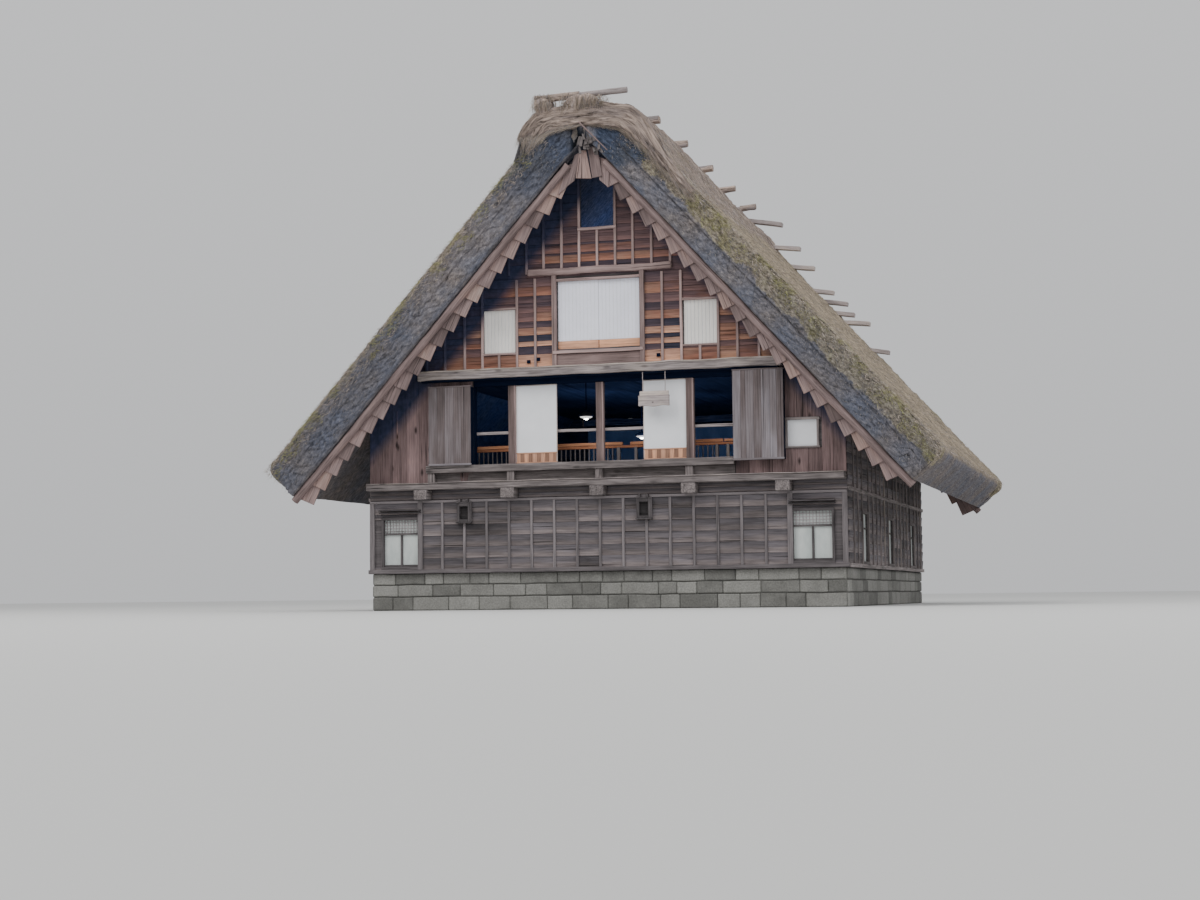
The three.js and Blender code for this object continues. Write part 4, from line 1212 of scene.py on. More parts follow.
def second_rear_storey():
    """Upright boards of the rear gable, with four plain windows of two sliding leaves"""
    draw = seeded(66)
    low, high = SKIRT_TOP + 0.004, HEAD_LOW
    half = REAR_BAY_WIDTH / 2
    bays = [Opening(x - half, x + half, BAY_SILL, 4.815) for x in REAR_BAY_X]
    boards, at = [], -WALL_X
    for x0, x1, z0, z1 in bays:
        boards += tall_boards(at, x0, low, high, draw)
        boards += tall_boards(x0, x1, low, z0 - 0.05, draw)
        boards += tall_boards(x0, x1, z1 + 0.04, high, draw)
        at = x1
    boards += tall_boards(at, WALL_X, low, high, draw)
    boards += tall_boards(-5.2, -4.06, high, HEAD_TOP, draw)
    boards += tall_boards(4.06, 5.2, high, HEAD_TOP, draw)
    build("second_rear_boards", boards, "red_wood", "tall_boards", wall="rear", under_roof=True, cuts=5,
          seed=67)
    bars, papers = [block(-3.9, 3.9, -0.10, 0.05, 3.06, BAY_SILL, 0.6)], []
    for x0, x1, z0, z1 in bays:
        bars += [bar(x, 0.03, -0.05, 0.07, z0, z1, 0.55) for x in (x0, x1)]
        bars.append(block(x0, x1, -0.05, 0.07, z1 - 0.02, z1 + 0.04))
        middle = (x0 + x1) / 2
        for left, right, y in ((x0, middle + 0.02, 0.06), (middle - 0.02, x1, 0.025)):
            papers.append(block(left + 0.03, right - 0.03, y, y + 0.012, z0 + 0.3, z1 - 0.03))
            bars += [stud(x, x + 0.03, y - 0.006, y + 0.02, z0, z1) for x in (left, right - 0.03)]
            bars.append(block(left, right, y - 0.006, y + 0.02, z0, z0 + 0.3, 0.35))
    build("rear_window_frames", bars, "grey_wood", "grey_beams", wall="rear", ease=0.003, seed=68)
    build("rear_window_paper", papers, "paper_panel", "paper", wall="rear", cuts=2, ease=0.002, wander=0.001,
          seed=69)


# Upper gable


def upper_tones(rows):
    """Tone of a board by its row: strong beside the large window, evener and redder away from it"""

    def tone_of(row, middle, draw):
        x, _, z = middle
        tone = rows[row][1]
        if z > LOFT_LINE:
            if abs(x) > 0.9:
                tone = 0.40 + 0.55 * (tone - 0.40)
        elif abs(x) > 2.62:
            tone = 0.56 + 0.30 * (tone - 0.5) + draw.normal(0, 0.08)
        elif abs(x) > 1.86:
            tone = 0.50 + 0.40 * (tone - 0.5)
        elif abs(x) > 1.42 and z > 6.1:
            tone = 0.42 + 0.5 * (tone - 0.45)
        return tone + draw.normal(0, 0.04)

    return tone_of


def upper_boards(gable):
    draw = seeded(71 if gable == "front" else 72)
    windows = [LEFT_LOFT_WINDOW, RIGHT_LOFT_WINDOW]
    right = [0.98, 1.42, 1.85, 2.61, 3.03, 3.48, 3.9, 4.4]
    attic = [0.4, 0.8, 1.2, 1.6, 2.0, 2.6]
    hatch = HATCH._replace(bottom=8.11, top=10.2)
    boards = []
    for rows, low, uprights, holes, longest in (
            (LEFT_ROWS, HEAD_TOP, [-x for x in reversed(right)], windows, 1),
            (RIGHT_ROWS, HEAD_TOP, right, windows, 1),
            (ATTIC_ROWS, LOFT_LINE, [*(-x for x in reversed(attic)), 0.0, *attic], [hatch], 2)):
        tops = [low, *(top for top, _ in rows)]
        boards += courses(zip(tops[:-1], tops[1:]), uprights, holes, draw, upper_tones(rows), longest)
    build(gable + "_upper_boards", boards, "red_wood", "red_boards", wall=gable, under_roof=True, seed=73)
    if gable == "front":
        # Near-black squares where the boards have square holes: painted shade of the holes
        hole_squares = [plank(x, 0.038, -0.052, -0.02, z - 0.036, z + 0.036, 0.0)
                 for x, z in ((-1.56, 5.304), (-1.342, 5.348), (1.321, 5.326))]
        build("board_hole_squares", hole_squares, "old_wood", "sooty_wood", wall=gable, cuts=1, seed=74)


def upper_battens(gable):
    """Upright battens over the boards, posts beside the large window, and the hatch's frame"""
    draw = seeded(75)
    battens = []

    def batten(x, z0, z1, half=sizes().batten / 2, out=0.056, tone=None):
        tone = draw.uniform(0.55, 0.95) if tone is None else tone
        battens.append(bar(x + draw.normal(0, 0.006), half, -out, -0.012, z0, z1, tone))

    for side, window in ((-1, LEFT_LOFT_WINDOW), (1, RIGHT_LOFT_WINDOW)):
        for x, top in ((1.41, 7.1), (1.825, 7.1), (2.615, 6.95), (3.03, 6.6), (3.48, 6.1), (3.9, 5.6)):
            batten(side * x, HEAD_TOP, top)
        batten(side * 2.23, HEAD_TOP, window.bottom - 0.03)
        batten(side * 0.98, HEAD_TOP, 7.16, 0.05, 0.085, 0.5)
        for x, top in ((0.4, 9.55), (0.8, 9.1), (1.2, 8.65), (1.6, 8.2), (2.0, 7.75)):
            batten(side * x, 7.2, top)
        x0, x1, z0, z1 = window
        battens.append(block(x0 - 0.03, x1 + 0.03, -0.05, 0.03, z1, z1 + 0.045, 0.8))
        battens.append(block(x0 - 0.03, x1 + 0.03, -0.05, 0.03, z0 - 0.04, z0, 0.7))
    batten(0.0, 7.2, HATCH.bottom)
    battens += [
        plank(0, 0.43, -0.075, 0.1, HATCH.bottom - 0.055, HATCH.bottom + 0.004, 0.85),
        plank(0, 1.0, -0.105, 0.03, 5.44, 5.505, 0.8),
        plank(0, 0.93, -0.06, 0.03, LEAVES.top, LEAVES.top + 0.05, 0.75),
        plank(0, 0.93, -0.045, -0.008, HEAD_TOP + 0.005, 5.43, 0.46),
    ]
    build(gable + "_upper_battens", battens, "grey_wood", "pale_battens", wall=gable, under_roof=True, cuts=7,
          ease=0.006, wander=0.004, seed=76)


def third_windows(gable):
    """Large window of two white leaves and two small cream ones, all of fine upright slats"""
    foot = LEAVES.bottom + 0.17
    panes = ((LEAVES.left, 0.0, foot, LEAVES.top, 0.02), (0.0, LEAVES.right, foot, LEAVES.top, 0.034),
             (*LEFT_LOFT_WINDOW, 0.02), (*RIGHT_LOFT_WINDOW, 0.02))
    papers = [block(x0, x1, y, y + 0.02, z0, z1) for x0, x1, z0, z1, y in panes]
    nodes = ("third_front_window", "third_left_window", "third_right_window")
    if gable == "rear":
        nodes = ("third_rear_windows",)
    build(gable + "_third_window_paper", papers, "paper_panel", "paper", *nodes, wall=gable, cuts=2,
          ease=0.002, wander=0.0, seed=81)
    # Size, look, its panes, slats on each, half a slat's width, how far they stand out, and their margin
    for size, look, group, count, half, out, margin in (
            ("large", "cool_paper", panes[:2], 11, 0.036, 0.006, 0.01),
            ("small", "warm_paper", panes[2:], 9, 0.034, 0.010, 0.006)):
        slats = [bar(x0 + (x1 - x0) * (i + 0.5) / count, half, y - out, y + 0.002, z0 + margin, z1 - margin)
                 for x0, x1, z0, z1, y in group for i in range(count)]
        build(gable + "_" + size + "_window_slats", slats, "paper_panel", look, wall=gable, cuts=2,
              ease=0.005, wander=0.001, seed=82)
    band = [
        block(LEAVES.left, -0.006, 0.012, 0.05, LEAVES.bottom, foot - 0.003, 0.85),
        block(0.006, LEAVES.right, 0.026, 0.06, LEAVES.bottom, foot - 0.003, 0.95),
    ]
    build(gable + "_third_window_band", band, "orange_wood", "orange_wood", wall=gable, seed=83)


def loft_beam(gable):
    """Crooked pale pole under the top storey, squared on two sides"""
    timber = [block(-1.56, 1.64, -0.11, -0.001, 7.155, 7.295, 0.62)]
    piece = lay(gable + "_loft_timber", timber, cuts=60, ease=0.022, wander=0.0, seed=85)
    points = points_of(piece)
    points[:, 2] += 0.014 * swell(points * (1, 0, 0), 1.5, 86) + 0.005 * swell(points, 0.25, 87)
    points[:, 1] += 0.010 * swell(points, 0.35, 88) - 0.006
    set_points(piece, points)
    keep(piece, "grey_wood", "pale_battens", gable + "_loft_beam", wall=gable)


def alarm_board():
    """Hanging board on two cords: a thick plank with a wavy foot and a lighter strip along its top"""
    planks = [
        block(0.922, 1.586, -0.235, -0.165, 4.225, 4.435, 0.62),
        block(0.945, 1.575, -0.215, -0.175, 4.44, 4.545, 0.80),
        block(0.915, 1.592, -0.228, -0.170, 4.425, 4.455, 0.35),
    ]
    board = lay("alarm_planks", planks, cuts=40, ease=0.008, wander=0.002, seed=89)
    points = points_of(board)
    foot = step(4.33, 4.23, points[:, 2])
    points[:, 2] += foot * (0.010 * np.sin((points[:, 0] - 0.922) * 15) + 0.006)
    set_points(board, points)
    knot = lay("alarm_knot", [block(1.215, 1.255, -0.238, -0.22, 4.295, 4.318, 0.0)], cuts=1, seed=90)
    cords = [pole("cord", (x, -0.195, 4.54), (x, -0.195, HEAD_LOW), 0.008, 8, 0.05, 0.002)
             for x in (1.01, 1.50)]
    for cord in cords:
        set_attributes(cord, rise=0.5)
    keep(joined("alarm_plank", [board, knot, *cords]), "grey_wood", "pale_grey", "alarm_board", wall="front")


# Floors and lamps


def floors():
    """Floorboards of the second and third storeys"""
    draw = seeded(93)
    for name, half_x, z in (("second_floorboards", 5.1, 2.65), ("third_floorboards", 4.2, 5.22)):
        boards, x = [], -half_x
        while x < half_x - 0.05:
            end = min(half_x, x + 0.24)
            tone = draw.uniform(0.2, 0.6)
            boards.append(deep(x + 0.002, end - 0.002, -5.9, 5.9, z - 0.004, z + 0.008, tone))
            x = end
        build(name, boards, "old_wood", "ground_boards", ease=0.003, wander=0.001, seed=94)


def turned(name, profile, x, y, z):
    """A profile of radius and height turned about an upright line"""
    radii, heights = np.array(profile).T
    around = 24

    def place(u, v):
        angle = 2 * math.pi * (u % around) / around
        return np.stack([x + radii[v] * np.cos(angle), y + radii[v] * np.sin(angle), z + heights[v]], 1)

    return bend_grid(name, around, len(profile) - 1, place)


def pendant_lamps():
    """The inside of each pendant shade with its painted glow, the bulb under it and its cord"""
    shade_profile = ((0.004, -0.003), (0.05, -0.003), (0.134, 0.023), (0.140, 0.020), (0.128, 0.008),
                     (0.05, -0.020), (0.004, -0.022))
    bowl_profile = ((0.004, -0.048), (0.028, -0.044), (0.046, -0.028), (0.048, -0.012), (0.004, -0.010))
    shades, bowls, cords = [], [], []
    for i, (x, y, z) in enumerate(((-0.9, -4.05, 4.25), (-1.0, 1.05, 4.21))):
        shades.append(turned("shade" + str(i), shade_profile, x, y, z))
        bowls.append(turned("bowl" + str(i), bowl_profile, x, y, z))
        cords.append(pole("wire" + str(i), (x, y, z + 0.13), (x, y, 5.17), 0.012, 8, 0.2, 0.0))
    keep(joined("lamp_cords", cords), "grey_wood", "sooty_wood")
    keep(joined("lamp_shades", shades), "grey_wood", "lamp_shade")
    keep(joined("lamp_bowls", bowls), "paper_panel", "lamp_glow")


# Thatch


def section_point(s, t):
    """x and z on the right half of what lies s down the slope and t out from its underside"""
    return s * RUN + t * FALL, INNER_APEX - s * FALL + t * RUN


def slope_point(side, s, t, y):
    """A point of the left or right half"""
    x, z = section_point(s, t)
    return np.stack([side * x, y, z], axis=-1)


def slope_outline(fine, coarse):
    """Section of one slope as points of x and z, closed, with rounded eave corners and coarse underside"""
    end = EAVE_X / RUN
    top = (OUTER_APEX - THATCH_TOP) / SLOPE
    start = top / RUN - THATCH * math.tan(PITCH)
    corner = 0.2
    turn = np.linspace(0, math.pi / 2, max(4, int(0.3 / fine)))
    return np.array([
        *(section_point(s, 0) for s in np.arange(end - 0.06, 0.05, -coarse)),
        (0.0, INNER_APEX), (0.0, THATCH_TOP),
        *((x, THATCH_TOP) for x in np.arange(0.1, top - 0.05, max(fine, 0.08))),
        *(section_point(s, THATCH) for s in np.arange(start, end - corner, fine)),
        *(section_point(end - corner * (1 - math.sin(a)), THATCH - corner * (1 - math.cos(a))) for a in turn),
        *(section_point(end, t) for t in np.arange(THATCH - corner - fine, 0.06, -fine)),
        section_point(end, 0),
    ])


def slope_coordinates(points):
    """s down the slope and t out from the underside, for points on either half"""
    x = np.abs(points[:, 0])
    z = INNER_APEX - points[:, 2]
    return x * RUN + z * FALL, x * FALL - z * RUN


def swells(points, seed, *parts):
    """Sum of swells, each given by its height, its size and how much is added to the seed"""
    return sum(height * swell(points, size, seed + shift) for height, size, shift in parts)


def layer_phase(points, seed):
    """Which straw layer of the cut face a point is in: layers lie flatter than the slope, in wavy scallops"""
    s, t = slope_coordinates(points)
    plane = np.stack([s, t, np.zeros_like(s)], axis=1)
    wave = swells(plane, seed, (0.42, (0.55, 0.7, 1), 0), (0.22, (0.2, 0.3, 1), 1))
    return (t - 0.30 * s) / sizes().layer + wave * 1.15


def thatch_relief(piece):
    """Pushes the thatch in and out: scalloped layers on cut faces, streaks and tufts outside"""
    seed = 101
    points, normals = points_of(piece), points_of(piece, "normal")
    x, y, z = points.T
    s, t = slope_coordinates(points)
    facing = step(0.35, 0.8, np.abs(normals[:, 1]))
    eave_cut = step(0.45, 0.85, normals[:, 0] * np.sign(x) * RUN - normals[:, 2] * FALL)
    phase = layer_phase(points, seed)
    saw = phase - np.floor(phase)
    lip = np.where(saw > 0.12, 1 - (saw - 0.12) / 0.88, saw / 0.12)
    cut = 0.026 * (lip - 0.5) + swells(points, seed, (0.014, 0.16, 2), (0.011, 0.07, 3), (0.010, 0.32, 8))
    slope_frame = np.stack([s, y, t], axis=1)
    near = step(1.3, 0.1, ROOF_Y - np.abs(y))
    streaks = swells(slope_frame, seed, (0.014, (0.9, 0.16, 0.5), 5), (0.010, (0.25, 0.09, 0.2), 6))
    tufts = (0.006 + 0.016 * near) * swells(points, seed, (1, 0.30, 9), (0.8, 0.14, 10))
    outside = 0.026 * swell(points, 1.4, seed + 4) + streaks + tufts
    push = (facing * cut + (1 - facing) * outside) * (1 - 0.85 * step(0.12, 0.02, t))
    moved = points + normals * push[:, None]

    # The gap behind the planks at the apex, and the painted shade under cap and poles and beside the boards,
    # low on the faces and at the straw's underside
    gap = facing * step(-0.40, -0.24, x) * step(0.10, -0.02, x) * step(9.28, 9.45, z) * step(10.2, 10.08, z)
    moved[:, 1] -= np.sign(y) * 0.14 * gap
    set_points(piece, moved)
    shade_line = 8.92 + 0.2 * swell(points, 0.5, seed + 11)
    right_end = step(1.95, 1.5, x + 0.06 * swell(points, 0.2, seed + 12))
    right_shade = 0.84 * step(0.15, 0.35, x) * right_end * step(shade_line, shade_line + 0.6, z)
    left_shade = 0.74 * step(-0.1, -0.4, x) * step(8.1, 9.4, z)
    low_shade = np.where(x < 0, 0.40, 0.20) * step(3.3, 4.4, np.abs(x)) + 0.14 * step(0.2, 0.6, x)
    shades = np.maximum.reduce([right_shade, left_shade, low_shade, 0.35 * step(0.16, 0.03, t)])
    # Painted shade in the dips between the layers of the cut face
    hollow = 1 - facing * step(0.60, 1.0, 1 - lip) * (0.50 + 0.3 * swell(points, 0.5, seed + 14))
    reach = np.where(x < 0, 0.08, 0.40) + 0.12 * swell(slope_frame, (0.8, 9, 9), seed + 12)
    verge = facing * step(THATCH - reach - 0.20, THATCH - reach + 0.16, t) * step(0.25, 0.5, t)
    verge *= 1 - step(0.1, 0.5, right_shade)
    set_attributes(
        piece,
        hollow=np.minimum(hollow, 1 - gap),
        soot=np.clip(np.maximum(facing * shades, 1.3 * gap), 0, 0.86),
        cut=np.maximum.reduce([facing, eave_cut, step(0.1, 0.03, t)]),
        edge=np.clip(verge + (1 - facing) * near * step(0.3, 0.5, t), 0, 1),
        grain=slope_frame,
    )


def thatch_body(side_name):
    """One slope between the cut faces"""
    side = SIDES[side_name]
    outline = slope_outline(0.10, 0.5)
    around = len(outline)
    reach = ROOF_Y - 0.12
    rows = 330

    def place(u, v):
        ring = outline[u % around]
        y = -reach + 2 * reach * v / rows
        return np.stack([side * ring[:, 0], y, ring[:, 1]], 1)

    piece = bend_grid(side_name + "_thatch_straw", around, rows, place)
    thatch_relief(piece)
    keep(piece, "thatch", "thatch", side_name + "_thatch")


def thatch_face(side_name, gable, fine):
    """Cut face of one slope at a gable: rings that widen from the straw's middle and turn over its edge"""
    side = SIDES[side_name]
    outline = slope_outline(fine, fine)
    around = len(outline)
    spine_top = np.array([0.50, 9.95])
    along = np.array([EAVE_X - 0.02, EAVE_LOW + 0.61]) - spine_top
    share = np.clip(((outline - spine_top) @ along) / (along @ along), 0, 1)
    foot = spine_top + share[:, None] * along
    reach = np.linalg.norm(outline - foot, axis=1)
    thick = outline[:, 0] * FALL - (INNER_APEX - outline[:, 1]) * RUN
    rounding = 0.05 + 0.17 * step(0.1, 0.6, thick)
    turned_back = 0.30
    face_rings = max(6, int(0.44 / fine)) + 5
    depth_rings = max(3, int(turned_back / (fine * 1.6)))
    rows = face_rings + depth_rings

    def place(u, v):
        ring = u % around
        grow = np.clip(v / face_rings, 0.03, 1)
        point = foot[ring] + (outline[ring] - foot[ring]) * grow[:, None]
        inside = (1 - grow) * reach[ring]
        r = rounding[ring]
        sunk = np.where(inside < r, r - np.sqrt(np.maximum(0, r * r - (r - inside) ** 2)), 0)
        behind = np.maximum(0, v - face_rings) / depth_rings * turned_back
        y = FACING[gable] * (ROOF_Y - sunk - behind)
        return np.stack([side * point[:, 0], y, point[:, 1]], 1)

    piece = bend_grid(gable + "_" + side_name + "_thatch_face", around, rows, place)
    thatch_relief(piece)
    keep(piece, "thatch", "thatch")


# Ridge


def saddle_curves(count):
    """Outer and inner line of the ridge saddle, from the left foot to the right one, and the way along it"""
    outer = np.array([
        (-1.56, 9.46), (-1.49, 9.60), (-1.44, 9.75), (-1.41, 9.88), (-1.47, 9.95), (-1.42, 10.07),
        (-1.33, 10.22), (-1.08, 10.47), (-0.55, 10.575), (0.0, 10.60), (0.5, 10.575), (1.04, 10.475),
        (1.30, 10.27), (1.50, 9.95), (1.62, 9.73), (1.80, 9.42), (2.0, 9.12), (2.2, 8.85), (2.42, 8.59),
    ])
    inner = np.array([
        (-1.34, 9.40), (-1.31, 9.52), (-1.28, 9.64), (-1.25, 9.76), (-1.20, 9.84), (-1.08, 9.92),
        (-0.92, 9.98), (-0.7, 10.04), (-0.35, 10.10), (0.0, 10.13), (0.35, 10.09), (0.72, 9.98),
        (1.0, 9.83), (1.24, 9.62), (1.40, 9.44), (1.60, 9.20), (1.84, 8.94), (2.06, 8.70), (2.32, 8.46),
    ])
    lengths = np.concatenate([[0], np.cumsum(np.linalg.norm(np.diff(outer, axis=0), axis=1))])
    at = np.linspace(0, lengths[-1], count)
    kernel = np.hanning(max(3, count // 26) | 1) + 0.05
    kernel /= kernel.sum()
    pad = len(kernel) // 2

    def smooth(line):
        ways = [np.pad(np.interp(at, lengths, line[:, axis]), pad, "edge") for axis in range(2)]
        return np.stack([np.convolve(way, kernel, "valid") for way in ways], 1)

    return smooth(outer), smooth(inner), at


def rear_sag(x, y):
    """How far the saddle's right shoulder has sunk towards the far gable, as a shift of x, y and z"""
    amount = 0.20 * step(-5.0, 5.0, y) * step(0.2, 1.1, x) * (1 - 0.75 * step(1.5, 2.4, x))
    return np.outer(amount, (-FALL, 0, -RUN))


def ridge_saddle():
    """Straw laid across the ridge: its stalks run from eave side to eave side, its ends are uneven"""
    count = 110
    outer, inner, arc = saddle_curves(count)
    loop = np.concatenate([outer, inner[::-1]])
    middle_line = (outer + inner) / 2
    mid = np.concatenate([middle_line, middle_line[::-1]])
    around = len(loop)
    end_rings, rows = 10, 250
    reach = ROOF_Y + 0.015

    def place(u, v):
        ring = u % around
        far = np.minimum(v, rows - v)
        grow = np.sin(np.clip(far / end_rings, 0.06, 1) * math.pi / 2) ** 0.7
        point = mid[ring] + (loop[ring] - mid[ring]) * grow[:, None]
        bulge = 0.07 * np.cos(np.clip(far / end_rings, 0, 1) * math.pi / 2)
        at = np.clip(far - end_rings, 0, None) / (rows / 2 - end_rings)
        y = reach + bulge - at * reach
        return np.stack([point[:, 0], np.where(v * 2 < rows, -1, 1) * y, point[:, 1]], 1)

    piece = bend_grid("ridge_straw", around, rows, place)
    points, normals = points_of(piece), points_of(piece, "normal")
    x, y, z = points.T
    section = points[:, [0, 2]]
    line = np.concatenate([outer, inner])
    near = np.array([np.argmin(((line - point) ** 2).sum(1)) for point in section])
    across = np.concatenate([arc, arc])[near]
    fibre = np.stack([across, y, np.linalg.norm(section - outer[near % count], axis=1)], 1)
    facing = step(0.4, 0.85, np.abs(normals[:, 1]))
    top = (swells(fibre, 121, (0.014, (1.6, 0.22, 0.5), 0), (0.014, (0.7, 0.075, 0.2), 1))
           + swells(points, 121, (0.014, 0.22, 5), (0.010, 0.11, 6)))
    face = swells(fibre, 123, (0.014, (0.9, 0.3, 0.075), 0), (0.016, (0.35, 0.2, 0.10), 1))
    push = facing * face + (1 - facing) * top - 0.03 * step(0.55, 0.0, arc[-1] - across)
    ragged = 9.93 + 0.04 * swell(points, 0.25, 128)
    old = step(ragged + 0.04, ragged - 0.04, z) * step(0.0, -0.4, x)
    push = push * (1 - old) + old * swells(points, 103, (0.016, 0.16, 0), (0.012, 0.07, 1))
    moved = points + normals * push[:, None]
    moved[:, 1] -= np.sign(y) * 0.085 * old * facing
    set_points(piece, moved + rear_sag(x, y))
    # Painted shade: darker in the dips of the straw and along the inner fringe of the faces, and a little
    # darker where the straw is old
    fringe = facing * step(0.10, 0.0, np.linalg.norm(section - inner[near % count], axis=1) * (x > -1.2))
    hollow = np.clip(0.75 + face * 14 * facing + top * 8 * (1 - facing), 0, 0.8)
    set_attributes(piece, hollow=hollow * (1 - 0.55 * fringe) * (1 - 0.2 * old), old=old, grain=fibre)
    keep(piece, "straw", "ridge_straw", "ridge_saddle")


def ridge_logs():
    """Logs across the ridge, each half wrapped in straw and tied down over two shaggy bundles"""
    for i, node in enumerate(LOGS):
        low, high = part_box(node)
        y, top = (low.y + high.y) / 2, high.z
        seed = 3 * i

        def stick(name, x0, drop0, x1, drop1, radius, *shape):
            return pole(name, (x0, y, top - drop0), (x1, y, top - drop1), radius, *shape)

        log = stick(node + "_bark", low.x, 0.135, high.x, 0.070, 0.072, 14, 0.07, 0.012, 0.08, 131 + i)
        keep(log, "roof_wood", "log_wood", node)
        bundles = [
            bundle("bundle_left" + str(i), -1.09, -0.70, y, top - 0.17, 141 + seed),
            bundle("bundle_right" + str(i), -0.46, 0.36, y, top - 0.17, 142 + seed),
            stick("wrap" + str(i), low.x - 0.01, 0.125, -0.12, 0.085, 0.088, 16, 0.05, 0.03, 0.25,
                  143 + seed),
        ]
        if i:
            ends = (high.x - 0.42, 0.09, high.x + 0.02, 0.075)
            bundles.append(stick("end_wrap" + str(i), *ends, 0.092, 16, 0.05, 0.03, 0.1, 144 + seed))
        piece = joined(node + "_bundles", bundles)
        # Painted light: the bundles are drawn brighter than plain ridge straw
        set_attributes(piece, hollow=0.95, old=0.0)
        keep(piece, "straw", "ridge_straw")


def bundle(name, x0, x1, y, z, seed):
    """A short thick roll of straw under a log, laid along the ridge, uneven all round"""
    around, rows = 36, 18
    width = (x1 - x0) / 2
    middle = (x0 + x1) / 2
    low = 10.44
    half = (z + 0.05 - low) / 2

    def place(u, v):
        angle = 2 * math.pi * (u % around) / around
        at = v / rows * 2 - 1
        fat = np.sqrt(np.maximum(0.02, 1 - at ** 2 * 0.6))
        x = middle + width * np.cos(angle) * fat
        base = np.stack([x, y + at * 0.17, low + half + half * np.sin(angle) * (0.8 + 0.2 * fat)], 1)
        lumps = (swell(base, 0.2, seed), 0.5 * swell(base, 0.2, seed + 3), swell(base, 0.16, seed + 1))
        tufts = (swell(base, 0.06, seed + 4), 0 * x, swell(base, 0.05, seed + 5))
        return base + 0.035 * np.stack(lumps, 1) + 0.012 * np.stack(tufts, 1)

    piece = bend_grid(name, around, rows, place)
    set_attributes(piece, grain=points_of(piece)[:, ::-1] * 1.5 + seed)
    return piece


# Verges


def verge(gable, side_name):
    """Barge pole and the row of planks behind it, each lapped by the one above"""
    side = SIDES[side_name]
    name = gable + "_" + side_name
    draw = seeded(151 + side)
    start, end = ((side * x, -0.81, 9.79 - SLOPE * x) for x in (0.40, EAVE_X - 0.02))
    bark = pole(name + "_barge_pole", start, end, sizes().pole, 16, 0.09, 0.014, -0.05, 155 + side)
    keep(bark, "roof_wood", "verge_boards", name + "_verge", wall=gable)
    first_x, first_z = (0.558, 8.62) if side < 0 else (0.464, 8.806)
    lap, length = 0.405, 0.60
    mirror = Matrix.Scale(side, 3, (1, 0, 0))
    planks = []
    for i in range(22):
        angle = -(PITCH + math.radians(18)) + draw.normal(0, 0.03)
        tip = np.array([first_x + lap * i * RUN, first_z - lap * i * FALL + draw.normal(0, 0.008)])
        width = 0.345 + draw.normal(0, 0.012)
        along = np.array([math.cos(angle), math.sin(angle)])
        middle = tip - along * length / 2 + np.array([-along[1], along[0]]) * width / 2
        turn = mirror @ Matrix.Rotation(-angle, 3, "Y") @ Matrix.Rotation(math.radians(-4.5), 3, "Z")
        place = (side * middle[0], -0.757 + 0.003 * (i % 2), middle[1])
        tone = float(np.clip(draw.normal(0.55, 0.18), 0.15, 1))
        planks.append(Board(place, (length, 0.030, width), turn, tone))
    piece = lay(name + "_verge_planks", planks, cuts=2, ease=0.006, wander=0.004, seed=158)
    if side < 0:
        edit(piece)
        bpy.ops.mesh.normals_make_consistent(inside=False)
        leave_edit()
    keep(piece, "roof_wood", "verge_boards", wall=gable)


def apex_planks(gable):
    """Planks fanned out at the apex, with short stubs over them and a thin stick across"""
    # Each as its four corners, its distance from the wall and its tone
    planks = [
        ((-0.199, 9.03), (0.141, 9.00), (0.02, 9.62), (-0.12, 9.62), -0.845, 0.75),
        ((-0.44, 8.86), (-0.25, 8.99), (-0.07, 9.62), (-0.24, 9.55), -0.80, 0.35),
        ((0.145, 9.02), (0.36, 9.05), (0.26, 9.70), (0.04, 9.70), -0.80, 0.40),
        ((0.30, 8.97), (0.49, 8.80), (0.52, 9.36), (0.24, 9.50), -0.775, 0.55),
        ((-0.62, 8.72), (-0.42, 8.88), (-0.22, 9.40), (-0.42, 9.34), -0.765, 0.5),
    ]
    fans = len(planks)
    draw = seeded(160)
    for _ in range(24):
        x, z = draw.uniform(-0.10, 0.34), draw.uniform(9.60, 10.02)
        x = min(x, 0.40 - 0.35 * (z - 9.6))
        wide, tall = draw.uniform(0.02, 0.045), draw.uniform(0.06, 0.15)
        foot = x + draw.normal(0.25, 0.3) * tall
        low_right = (foot + wide, z - tall + draw.uniform(-0.02, 0.03))
        top = ((x + wide * 0.8, z + 0.04), (x - wide * 0.8, z + 0.05))
        y, tone = draw.uniform(-0.95, -0.88), draw.uniform(0.0, 0.34)
        planks.append(((foot - wide, z - tall), low_right, *top, y, tone))
    made = []
    for i, (*corners, y, tone) in enumerate(planks):
        board = block(-0.5, 0.5, -0.013, 0.013, -0.5, 0.5, tone)
        plank = lay("fan" + str(i), [board], cuts=2, wander=0.0, seed=161 + i)
        u, deep_in, v = points_of(plank).T
        u, v = u + 0.5, v + 0.5
        pulls = ((1 - u) * (1 - v), u * (1 - v), u * v, (1 - u) * v)
        x, z = sum(np.outer(corner, pull) for corner, pull in zip(corners, pulls))
        set_points(plank, np.stack([x, y + deep_in - 0.03 * (1 - v), z], 1))
        grain = np.stack([v * 0.7, u * 0.3, deep_in + i * 3], 1)
        plank.data.attributes["grain"].data.foreach_set("vector", grain.ravel())
        made.append(plank)
    keep(joined(gable + "_apex_stubs", made[fans:]), "roof_wood", "grey_beams", wall=gable)
    stick = pole("stick", (-0.08, -1.03, 10.19), (0.53, -1.0, 9.55), 0.016, 8, 0.06, 0.004, 0.3, 169)
    keep(joined(gable + "_apex_planks", [*made[:fans], stick]), "roof_wood", "verge_boards", wall=gable)


